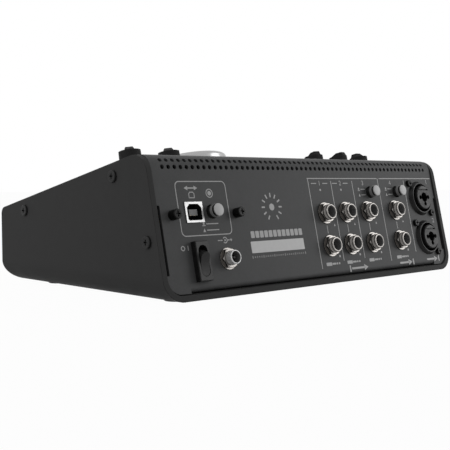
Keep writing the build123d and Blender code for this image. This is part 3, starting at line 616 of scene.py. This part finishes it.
rule_corner = 0.125           # of a rule's shorter side
ring_corners = 48

# Marks of a button's two positions. The square and its base have a rise from the upper row, a width and a
# height.
position_rule_start = 1.8
position_square = (0.35, 1.2, 1.3)
position_base = (-0.85, 2.2, 0.45)
position_triangle = 1.9

# A group's arrow. Its shaft is cut from the whole length and shifted from its middle, and the head's middle
# lies inside its end.
arrow_bar = (1.1, 3.9)
arrow_shaft_shift = 1.4
arrow_shaft_cut = 5.8
arrow_shaft_width = 1.2
arrow_head_inset = 3.4
arrow_head = 3.8

# A plug's grip, sleeve, ring and tip: offset, width and height.
plug_parts = ((-4.4, 5.0, 2.0), (0.2, 3.4, 1.1), (3.0, 1.3, 1.1), (5.0, 1.3, 1.1))


def rule(mesh, x, y, width, height=line_width):
    """Filled rectangle centred on a point of the rear panel."""
    outline = rounded_box(width, height, min(width, height) * rule_corner, steps=1)
    prism(mesh, rear.moved(x, y), outline, print_low, print_high)


def triangle(mesh, x, y, size, angle):
    """Filled triangle that points up, turned counterclockwise by an angle in degrees."""
    corners = [(0, size / 2), (-size / 2, -size / 2), (size / 2, -size / 2)]
    prism(mesh, rear.moved(x, y).turned(angle), corners, print_low, print_high)


def dot(mesh, x, y, radius, place=rear):
    """Small round spot."""
    prism(mesh, place, circle(x, y, radius), print_low, print_high)


def ring(mesh, x, y, radius):
    """Thin circle."""
    stroke(mesh, circle(x, y, radius, ring_corners), closed=True)


def position_marks(mesh, x, upper, lower, rule_length):
    """A button's two positions: out, a square over a line, and in, a triangle, each with a short rule."""
    for y in (upper, lower):
        rule(mesh, x + position_rule_start + rule_length / 2, y, rule_length)
    for rise, width, height in (position_square, position_base):
        rule(mesh, x, upper + rise, width, height)
    triangle(mesh, x, lower, position_triangle, 0)


def arrow(mesh, x, y, length, outward):
    """Arrow away from a bar for outputs, and towards it for inputs."""
    bar = -1 if outward else 1
    rule(mesh, x + bar * length / 2, y, *arrow_bar)
    rule(mesh, x - arrow_shaft_shift, y, length - arrow_shaft_cut, arrow_shaft_width)
    triangle(mesh, x + length / 2 - arrow_head_inset, y, arrow_head, -90)


def plug_mark(mesh, x, y):
    """Plug seen from its side."""
    for offset, width, height in plug_parts:
        rule(mesh, x + offset, y, width, height)


usb_arrow_row = 58.25
usb_arrow_reach = 3.4
usb_arrow_head = 2.4
usb_arrow_shaft = (4.6, 0.7)
usb_mark_row = 54.55
usb_mark_size = (3.6, 3.0)
usb_mark_bevels = (0.8, 0.1)
usb_mark_line = 0.45


def print_usb_marks(mesh):
    """Two-way arrow over the outline of the computer socket."""
    x = rear.local(mounts["usb_b_socket"]["pos_m"])[0]
    triangle(mesh, x - usb_arrow_reach, usb_arrow_row, usb_arrow_head, 90)
    rule(mesh, x, usb_arrow_row, *usb_arrow_shaft)
    triangle(mesh, x + usb_arrow_reach, usb_arrow_row, usb_arrow_head, -90)
    stroke(mesh, bevelled(*usb_mark_size, *usb_mark_bevels), usb_mark_line, True, rear.moved(x, usb_mark_row))


record_mark_row = 55.35
record_dot = 1.25
record_ring = 2.2
# Offset from the button, upper row, lower row, and length of the rules.
record_positions = (-7.2, 39.0, 35.7, 8.5)
upper_button_positions = (-11.05, 56.5, 52.85, 4.4)


def print_button_positions(mesh, name, offset, upper, lower, rule_length):
    """The two positions' marks beside a button."""
    position_marks(mesh, node_centre(name) + offset, upper, lower, rule_length)


def print_record_marks(mesh):
    """Dot in a ring over the record button, and its positions under it."""
    x = node_centre("record_button")
    dot(mesh, x, record_mark_row, record_dot)
    ring(mesh, x, record_mark_row, record_ring)
    print_button_positions(mesh, "record_button", *record_positions)


power_mark_row = 26.95
power_on_offset = -6.6
power_on_size = (0.6, 2.4)
power_off_offset = -10.0
power_off_radius = 1.1


def print_power_marks(mesh):
    """Line for on and ring for off, beside the power switch."""
    x = node_centre("power_switch_frame")
    rule(mesh, x + power_on_offset, power_mark_row, *power_on_size)
    ring(mesh, x + power_off_offset, power_mark_row, power_off_radius)


polarity_row = 29.85
polarity_sign_offset = 4.4
polarity_link_offset = 2.6
polarity_stroke = 1.5
polarity_dot = 0.55
polarity_radius = 1.5
polarity_half_turn = 140
polarity_steps = 20


def print_polarity_mark(mesh):
    """Centre-positive sign over the DC inlet: a dot in an open ring, between a minus and a plus."""
    x = rear.local(mounts["dc_inlet"]["pos_m"])[0]
    for side in (-1, 1):
        rule(mesh, x + side * polarity_sign_offset, polarity_row, polarity_stroke)
    rule(mesh, x + polarity_sign_offset, polarity_row, line_width, polarity_stroke)
    dot(mesh, x, polarity_row, polarity_dot)
    curve = arc(x, polarity_row, polarity_radius, -polarity_half_turn, polarity_half_turn, polarity_steps)
    stroke(mesh, curve)
    for side in (-1, 1):
        rule(mesh, x + side * polarity_link_offset, polarity_row, polarity_stroke)


level_mark_offset = 7.2
upper_mark_drop = 7.4
upper_mark_size = 1.5
lower_mark_drop = 6.7
lower_mark_size = 1.3
plug_offset = 0.6
plug_row = 11.3
pair_number_row = 60.4
pair_number_size = 4.2
pair_number_offset = -0.55
pair_number_shift = 0.6       # of the numbers whose pair has a button beside them
output_pairs = 2              # the first pairs, whose numbers have a rule on either side and a dot below
output_rule_offset = 5.2
output_rule_length = 4.6
output_dot_row = 56.35
output_dot = 0.7


def print_pair_marks(mesh):
    """A number over each jack pair, small marks beside its jacks, and a plug below."""
    for number, pair in enumerate(jack_pairs, start=1):
        x, upper, lower = pair_place(pair)
        middle = x + pair_number_offset
        triangle(mesh, x + level_mark_offset, upper - upper_mark_drop, upper_mark_size, 0)
        rule(mesh, x + level_mark_offset, lower - lower_mark_drop, lower_mark_size, lower_mark_size)
        plug_mark(mesh, x + plug_offset, plug_row)
        shift = 0.0 if number <= output_pairs else pair_number_shift
        spot = rear.moved(middle + shift, pair_number_row)
        add_number(str(number), f"{pair}_number", spot, pair_number_size, "case")
        if number <= output_pairs:
            for side in (-1, 1):
                rule(mesh, middle + side * output_rule_offset, pair_number_row, output_rule_length)
            dot(mesh, middle, output_dot_row, output_dot)


# Place across, row and length of each group's arrow, and whether it points out of the unit.
group_arrows = ((28.75, 7.3, 19.0, True), (77.1, 7.3, 16.5, False), (107.5, 7.7, 15.5, False))
input_number_offset = 11.6
input_number_rise = 11.3
input_number_size = 4.4


def print_input_numbers():
    """A number beside each combination inlet."""
    for number, name in enumerate(("input_1", "input_2"), start=1):
        x, y, _ = rear.local(mounts[name + "_combo_centre"]["pos_m"])
        spot = rear.moved(x + input_number_offset, y + input_number_rise)
        add_number(str(number), f"{name}_number", spot, input_number_size, "case")


# The row of rectangles, the fan of ticks and the strip of ticks in the panel's middle.
meter_segments = 12
meter_left = -61.05
meter_pitch = 3.53
meter_gap = 0.7
meter_row = 31.85
meter_height = 3.8
dial_x = -40.7
dial_row = 46.9
dial_start = 5.6
dial_end = 8.1
dial_tick = 0.9
dial_hub = 2.0
strip_ticks = 26
strip_row = 19.4
strip_tick_width = 0.4
strip_tick = 0.9
strip_long_tick = 1.5

# A knob's scale, which the fan of ticks follows too.
scale_steps = 10
scale_sweep = 300.0
long_tick_every = 5


def scale_angle(step):
    """Angle of a scale's step, counterclockwise from up, in degrees."""
    return scale_sweep / 2 - scale_sweep * step / scale_steps


def print_middle_marks(mesh):
    """Row of plain rectangles, fan of ticks round a disc, and strip of ticks."""
    for step in range(meter_segments):
        x = meter_left + (step + 0.5) * meter_pitch
        rule(mesh, x, meter_row, meter_pitch - meter_gap, meter_height)
    dial = rear.moved(dial_x, dial_row)
    for step in range(scale_steps + 1):
        spoke(mesh, dial, scale_angle(step), dial_start, dial_end, dial_tick, print_low, print_high)
    dot(mesh, 0, 0, dial_hub, dial)
    for step in range(strip_ticks):
        x = bar_left + step * (bar_right - bar_left) / (strip_ticks - 1)
        height = strip_tick if step % long_tick_every else strip_long_tick
        rule(mesh, x, strip_row, strip_tick_width, height)


def print_generic_marks():
    """Plain marks on the rear panel, with no words."""
    mesh = bmesh.new()
    print_usb_marks(mesh)
    print_record_marks(mesh)
    print_power_marks(mesh)
    print_polarity_mark(mesh)
    print_pair_marks(mesh)
    for name in ("two_track_button", "source_button"):
        print_button_positions(mesh, name, *upper_button_positions)
    for place in group_arrows:
        arrow(mesh, *place)
    print_input_numbers()
    print_middle_marks(mesh)
    add_piece(mesh, "panel_marks", "case", [ink])


# ---- Sockets ----

shell_thickness = 1.5
jack_barrel_radius = 4.6
jack_thread_root = 4.32
jack_rim_radius = 4.15
jack_mouth_radius = 3.6
jack_bore_radius = 3.25
jack_liner_depth = 15.0
jack_body_width = 15.0
jack_body_height = 17.0
headphone_body_height = 13.0
body_round = 0.8

# Thread and ridges. Where a crest, root, foot or top lies is a share of the thread's pitch.
thread_pitch = 0.75
crest_from = 0.3
crest_to = 0.5
root_from = 0.9
last_crest_from = 0.2
rim_room = 1.5                # room for the rounded rim, as a share of its width
bore_ridges = 3
ridge_depth = 0.12
ridge_foot = 0.6
ridge_top = 0.3


def threaded_barrel(mesh, place, start, end, crest, root, rim, mouth, bore, deep):
    """Threaded barrel with a rounded rim, and a bore of the second finish with ridges in it."""
    profile = [(root, start)]
    turn = start
    while turn + thread_pitch < end - rim_room * (crest - rim):
        profile += [(crest, turn + crest_from * thread_pitch), (crest, turn + crest_to * thread_pitch),
                    (root, turn + root_from * thread_pitch)]
        turn += thread_pitch
    edge = (crest - rim) / 3
    profile += [(crest, turn + last_crest_from * thread_pitch), (crest, end - 3 * edge),
                (crest - edge, end - edge), (rim, end), (mouth + edge, end), (mouth, end - edge)]
    lathe(mesh, place, profile)
    ridges = [(mouth, end - edge)]
    for step in range(bore_ridges):
        low = end - edge - (step + 1) * thread_pitch
        ridges += [(bore + ridge_depth, low + ridge_foot * thread_pitch),
                   (bore, low + ridge_top * thread_pitch)]
    lathe(mesh, place, ridges + [(bore, -deep), (0, -deep)], 1)


def dress_jacks(node, places, body_height):
    """Jack sockets with threaded barrels in place of a node's plain ones."""
    mesh = bmesh.new()
    barrel_height = node_reach(node, places[0])
    for place in places:
        low = min(p[2] for p in node_points(node, place))
        prism(mesh, place, rounded_box(jack_body_width, body_height, body_round), low, -shell_thickness, 1)
        threaded_barrel(mesh, place, -shell_thickness, barrel_height, jack_barrel_radius, jack_thread_root,
                        jack_rim_radius, jack_mouth_radius, jack_bore_radius, jack_liner_depth)
    piece = add_piece(mesh, node + "_dressed", "case", [nickel, liner_plastic])
    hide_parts(node)


def dress_all_jacks():
    """The rear's four pairs and the front's two."""
    for pair in jack_pairs:
        places = [rear_mount(pair + side) for side in ("_left_jack", "_right_jack")]
        dress_jacks(pair + "_jacks", places, jack_body_height)
    front = []
    for name in ("phones_1_jack", "phones_2_jack"):
        mount = mounts[name]
        outward = Vector(mount["axis"])
        point = Vector(mount["pos_m"]) + outward * jack_mount_depth * MM
        front.append(Place(point, seen_from_front, outward))
    dress_jacks("headphone_jacks", front, headphone_body_height)


usb_width = 12.04
usb_height = 10.9
usb_corner = 0.15
usb_rim = 1.15
usb_depth = 16.0
usb_upper_bevel = 1.9
usb_lower_bevel = 0.7
contact_across = 1.25
contact_up = 1.6
contact_width = 1.1
contact_thickness = 0.12
contact_round = 0.05
contact_start = 8.0           # behind the tongue's front
contact_end = 0.6


def dress_usb():
    """Square metal shell with a bevelled dark mouth, whose black inner walls are partly the socket's dark plastic
    and partly painted shade, and the tongue's contacts.
    """
    place = rear_mount("usb_b_socket")
    front = node_reach("usb_socket_shell", place)
    mesh = bmesh.new()
    # The mouth's inner walls take black plastic, partly the socket's own dark plastic and partly painted shade
    # inside the mouth.
    tube(mesh, place, bevelled(usb_width, usb_height, usb_corner, usb_corner),
         bevelled(usb_width - 2 * usb_rim, usb_height - 2 * usb_rim, usb_upper_bevel, usb_lower_bevel),
         -usb_depth, front, 1)
    piece = add_piece(mesh, "usb_socket_shell_dressed", "case", [bright_tin, black_plastic])
    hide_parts("usb_socket_shell")
    for holder in nodes["usb_socket_insert"].material_slots:
        holder.material = tongue_grey
    tongue_front = node_reach("usb_socket_insert", place)
    mesh = bmesh.new()
    strip = rounded_box(contact_width, contact_thickness, contact_round, steps=1)
    for side_y in (1, -1):
        for side_x in (1, -1):
            prism(mesh, place.moved(side_x * contact_across, side_y * contact_up), strip,
                  tongue_front - contact_start, tongue_front - contact_end)
    add_piece(mesh, "usb_contacts", "case", [contact])


dc_barrel_radius = 3.8
dc_thread_root = 3.78
dc_rim_radius = 3.4
dc_mouth_radius = 3.1
dc_bore_radius = 2.95
dc_depth = 9.0
dc_pin_radius = 1.05
dc_body_size = 11.0
dc_pin_drop = 1.5
dc_pin_tip = 0.4


def dress_dc_inlet():
    """Nearly smooth inlet with a dark bore and a centre pin, whose near-black metal is painted shade deep in the
    bore.
    """
    place = rear_mount("dc_inlet")
    front = node_reach("dc_jack", place)
    low = min(p[2] for p in node_points("dc_jack", place))
    mesh = bmesh.new()
    prism(mesh, place, rounded_box(dc_body_size, dc_body_size, body_round), low, -shell_thickness, 1)
    threaded_barrel(mesh, place, -shell_thickness, front, dc_barrel_radius, dc_thread_root, dc_rim_radius,
                    dc_mouth_radius, dc_bore_radius, dc_depth)
    tip = front - dc_pin_drop
    pin = [(dc_pin_radius, -dc_depth), (dc_pin_radius, tip - dc_pin_tip), (dc_pin_radius - dc_pin_tip, tip),
           (0, tip)]
    # The pin's near-black metal is painted shade.
    lathe(mesh, place, pin, 2)
    piece = add_piece(mesh, "dc_jack_dressed", "case", [satin_nickel, liner_plastic, pin_nickel_painted_shade])
    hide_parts("dc_jack")


combo_face_radius = 7.5
combo_latch_row = 5.75
combo_latch_lift = 0.18
combo_latch_steps = 14
combo_latch_bevel = 0.06


def dress_combos():
    """Latch tab on each combination inlet's core."""
    for name in ("input_1", "input_2"):
        place = rear_mount(name + "_combo_centre")
        face = node_reach(name + "_combo_jack", place)
        mesh = bmesh.new()
        reach = (combo_face_radius ** 2 - combo_latch_row ** 2) ** 0.5
        start = degrees(atan2(combo_latch_row, reach))
        outline = arc(0, 0, combo_face_radius, start, 180 - start, combo_latch_steps)
        prism(mesh, place, outline, face, face + combo_latch_lift)
        add_piece(mesh, name + "_latch_tab", "case", [core_plastic_and_shade], bevel=combo_latch_bevel)


# ---- Rear buttons ----

cap_radius = 3.35
cap_groove_radius = 2.9
cap_groove = 1.3
cap_face = 1.0                # thickness of the disc in front of the groove
cap_length = 4.2
cap_edge = 0.35
cap_edge_steps = 5
cap_chamfer = 0.15
cap_crown = 0.4
cap_crown_steps = 6
lip_radius = 3.6
plunger_radius = 3.1
plunger_start = -1.0


def dress_rear_buttons():
    """Crowned grey caps with a dark groove and a lip, on dark plungers; the plungers' and grooves' dark plastic
    and the lips' darker grey are painted shade.
    """
    for name in ("record_button", "two_track_button", "source_button"):
        base = node_place(name, rear)
        height = node_reach(name, base)
        place = base.moved(0, 0, height)
        groove = cap_face + cap_groove
        mesh = bmesh.new()
        plunger = [(0, plunger_start - height), (plunger_radius, plunger_start - height),
                   (plunger_radius, -cap_length)]
        lip = [(plunger_radius, -cap_length), (lip_radius - cap_chamfer, -cap_length),
               (lip_radius, cap_chamfer - cap_length), (lip_radius, -groove - cap_chamfer),
               (lip_radius - cap_chamfer, -groove)]
        waist = [(lip_radius - cap_chamfer, -groove), (cap_groove_radius, -groove),
                 (cap_groove_radius, -cap_face), (cap_radius, -cap_face)]
        face_radius = cap_radius - cap_edge
        rim = [(cap_radius, -cap_face)]
        rim += arc(face_radius, -cap_crown - cap_edge, cap_edge, 0, 90, cap_edge_steps)
        crown = []
        for step in range(1, cap_crown_steps + 1):
            share = 1 - step / cap_crown_steps
            crown.append((face_radius * share, -cap_crown * share ** 2))
        # The plunger and the groove take dark plastic as painted shade, and the lip a darker grey as painted
        # shade.
        lathe(mesh, place, plunger, 1)
        lathe(mesh, place, lip, 2)
        lathe(mesh, place, waist, 1)
        lathe(mesh, place, rim + crown)
        finishes = [button_grey, core_plastic_and_shade, cap_side_painted_shade]
        piece = add_piece(mesh, name + "_cap", name, finishes)
        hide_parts(name)


# ---- Power switch ----

bezel_width = 8.8
bezel_height = 20.8
well_width = 6.2
well_height = 16.3
face_inset = 0.35
face_thickness = 0.12
face_corner = 0.4
face_corner_steps = 12


def dress_power_switch():
    """Grey face on the switch's black frame, a painted reflection that makes the frame's front as light as the lit
    panel.
    """
    place = node_place("power_switch_frame", rear)
    front = node_reach("power_switch_frame", place)
    outer = rounded_box(bezel_width - 2 * face_inset, bezel_height - 2 * face_inset, face_corner,
                        steps=face_corner_steps)
    inner = rounded_box(well_width, well_height, well_width / 2, steps=face_corner_steps)
    mesh = bmesh.new()
    # Painted reflection: a grey plate that makes the black frame's front look lit.
    tube(mesh, place, outer, inner, front, front + face_thickness)
    add_piece(mesh, "power_switch_face", "case", [painted_sheen_plastic])


# ---- Knobs and the top's scales ----

small_knobs = ("input_1_gain", "input_2_gain", "source_level", "phones_1_level", "phones_2_level")
tick_width = 0.4
long_tick = 1.3               # of a short tick's length
small_scale_start = 8.0
small_scale_length = 1.6
small_number_gap = 2.2
small_number_size = 2.2
volume_scale_start = 26.2
volume_scale_length = 2.6
volume_number_gap = 3.0
volume_number_size = 3.2
pointer_thickness = 0.02
small_pointer_start = 0.8
small_pointer_end = 4.3
small_pointer_width = 0.8
volume_pointer_start = 13.0
volume_pointer_end = 20.5
volume_pointer_width = 1.3


def print_scale(name, place, start, length, number_gap, size):
    """Ticks from 0 to 10 round a knob, with numbers at the ends and in the middle."""
    mesh = bmesh.new()
    for step in range(scale_steps + 1):
        end = start + length * (1.0 if step % long_tick_every else long_tick)
        spoke(mesh, place, scale_angle(step), start, end, tick_width, print_low, print_high)
    add_piece(mesh, name + "_scale", "case", [ink])
    for step in range(0, scale_steps + 1, long_tick_every):
        turn = radians(scale_angle(step))
        reach = start + length + number_gap
        spot = place.moved(-reach * sin(turn), reach * cos(turn))
        add_number(str(step), f"{name}_number_{step}", spot, size, "case")


def add_pointer(name, place, start, end, width, finish):
    """Line on a knob's top, from its middle towards its edge."""
    top = node_reach(name + "_knob", place)
    mesh = bmesh.new()
    spoke(mesh, place, rest_turn(name + "_turn"), start, end, width, top, top + pointer_thickness)
    add_piece(mesh, name + "_pointer", name + "_knob", [finish])


def dress_knobs():
    """Scales on the top, and a pointer line on each knob."""
    for name in small_knobs:
        place = top_joint(name + "_turn")
        print_scale(name, place, small_scale_start, small_scale_length, small_number_gap, small_number_size)
        add_pointer(name, place, small_pointer_start, small_pointer_end, small_pointer_width, ink)
    place = top_joint("volume_turn")
    print_scale("volume", place, volume_scale_start, volume_scale_length, volume_number_gap,
                volume_number_size)
    add_pointer("volume", place, volume_pointer_start, volume_pointer_end, volume_pointer_width, dark_ink)


lens_radius = 1.4
lens_rise = 0.3
lens_depth = 2.0
lens_segments = 24
dome_angles = (0, 25, 50, 75)
lens_finishes = (0, 0, 0, 1, 1, 2)      # green, amber and red, from the quiet end


def dress_level_lights():
    """Domed lenses in two columns."""
    plane = top_joint("volume_turn")
    points = node_points("level_lights", plane)
    across = [point[0] for point in points]
    along = [point[1] for point in points]
    front = max(point[2] for point in points)
    low = min(along) + lens_radius
    pitch = (max(along) - lens_radius - low) / (len(lens_finishes) - 1)
    profile = [(0, front - lens_depth), (lens_radius, front - lens_depth)]
    for angle in dome_angles:
        turn = radians(angle)
        profile.append((lens_radius * cos(turn), front + lens_rise * (sin(turn) - 1)))
    profile.append((0, front))
    mesh = bmesh.new()
    for x in (min(across) + lens_radius, max(across) - lens_radius):
        for row, finish in enumerate(lens_finishes):
            lathe(mesh, plane.moved(x, low + row * pitch), profile, finish, lens_segments)
    piece = add_piece(mesh, "level_lights_dressed", "case", [green_lens, amber_lens, red_lens])
    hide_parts("level_lights")


# ---- Studio ----

ambient = 0.4
floor_white_share = 0.975     # of the floor's white that doesn't depend on its light
floor_dark = 0.4
floor_light = 0.44
floor_grain = 60.0
floor_roughness = 0.9
floor_half = 6.0              # in metres
floor_cells = 8

# Each lamp's direction from its target, its distance and width in metres, its power in watts, and its target.
lamps = {
    "rear_lamp": ((-0.75, 0.60, 0.24), 0.6, 0.35, 1.45, (-0.03, 0.07, 0.04)),
    "cheek_lamp": ((1.0, -0.25, 0.65), 0.8, 0.5, 1.9, (0.12, 0.0, 0.05)),
}


def seen_directly(tree):
    """1 for rays from the camera, or in metal or glass, and 0 for the rest."""
    path = tree.nodes.new("ShaderNodeLightPath")
    seen = path.outputs["Is Camera Ray"]
    for ray in ("Is Glossy Ray", "Is Transmission Ray"):
        either = tree.nodes.new("ShaderNodeMath")
        either.operation = "MAXIMUM"
        tree.links.new(seen, either.inputs[0])
        tree.links.new(path.outputs[ray], either.inputs[1])
        seen = either.outputs[0]
    return seen


def make_world():
    """Soft light from all round, seen as white."""
    world = bpy.data.worlds.new("studio")
    bpy.context.scene.world = world
    world.use_nodes = True
    tree = world.node_tree
    background = tree.nodes["Background"]
    background.inputs["Color"].default_value = (1, 1, 1, 1)
    strength = tree.nodes.new("ShaderNodeMapRange")
    strength.inputs["To Min"].default_value = ambient
    strength.inputs["To Max"].default_value = 1.0
    tree.links.new(seen_directly(tree), strength.inputs["Value"])
    tree.links.new(strength.outputs["Result"], background.inputs["Strength"])


def make_floor():
    """Pale floor that reads as white and keeps the object's soft shadow."""
    made = bpy.data.materials.new("floor")
    made.use_nodes = True
    tree = made.node_tree
    shader = tree.nodes["Principled BSDF"]
    shader.inputs["Roughness"].default_value = floor_roughness
    shader.inputs["Specular IOR Level"].default_value = 0.0
    tone = tree.nodes.new("ShaderNodeMapRange")
    tone.inputs["To Min"].default_value = floor_dark
    tone.inputs["To Max"].default_value = floor_light
    tree.links.new(texture(tree, floor_grain), tone.inputs["Value"])
    tree.links.new(tone.outputs["Result"], shader.inputs["Base Color"])
    white = tree.nodes.new("ShaderNodeEmission")
    white.inputs["Strength"].default_value = 1.0
    share = tree.nodes.new("ShaderNodeMath")
    share.operation = "MULTIPLY"
    share.inputs[1].default_value = floor_white_share
    tree.links.new(seen_directly(tree), share.inputs[0])
    mix = tree.nodes.new("ShaderNodeMixShader")
    tree.links.new(share.outputs[0], mix.inputs[0])
    tree.links.new(shader.outputs[0], mix.inputs[1])
    tree.links.new(white.outputs[0], mix.inputs[2])
    tree.links.new(mix.outputs[0], tree.nodes["Material Output"].inputs["Surface"])
    mesh = bmesh.new()
    bmesh.ops.create_grid(mesh, x_segments=floor_cells, y_segments=floor_cells, size=floor_half)
    data = bpy.data.meshes.new("floor")
    mesh.to_mesh(data)
    mesh.free()
    data.materials.append(made)
    floor = add_object("floor", data)


def soft_box(name, direction, distance, width, power, target):
    """Square lamp that faces a target from a direction."""
    data = bpy.data.lights.new(name, "AREA")
    data.shape = "RECTANGLE"
    data.size = width
    data.size_y = width
    data.energy = power
    lamp = add_object(name, data)
    toward = Vector(direction).normalized()
    lamp.location = Vector(target) + toward * distance
    lamp.rotation_euler = toward.to_track_quat("Z", "Y").to_euler()


def make_lamps():
    """One lamp on the rear panel's far side and one above the near cheek's side."""
    for name, settings in lamps.items():
        soft_box(name, *settings)


# ---- Assembly ----

make_camera()
make_world()
make_floor()
make_lamps()
bpy.context.scene.view_settings.view_transform = "Standard"

finish_nodes()
print_panel_lines()
print_light_bar()
print_generic_marks()
dress_all_jacks()
dress_usb()
dress_dc_inlet()
dress_combos()
dress_rear_buttons()
dress_power_switch()
dress_knobs()
dress_level_lights()
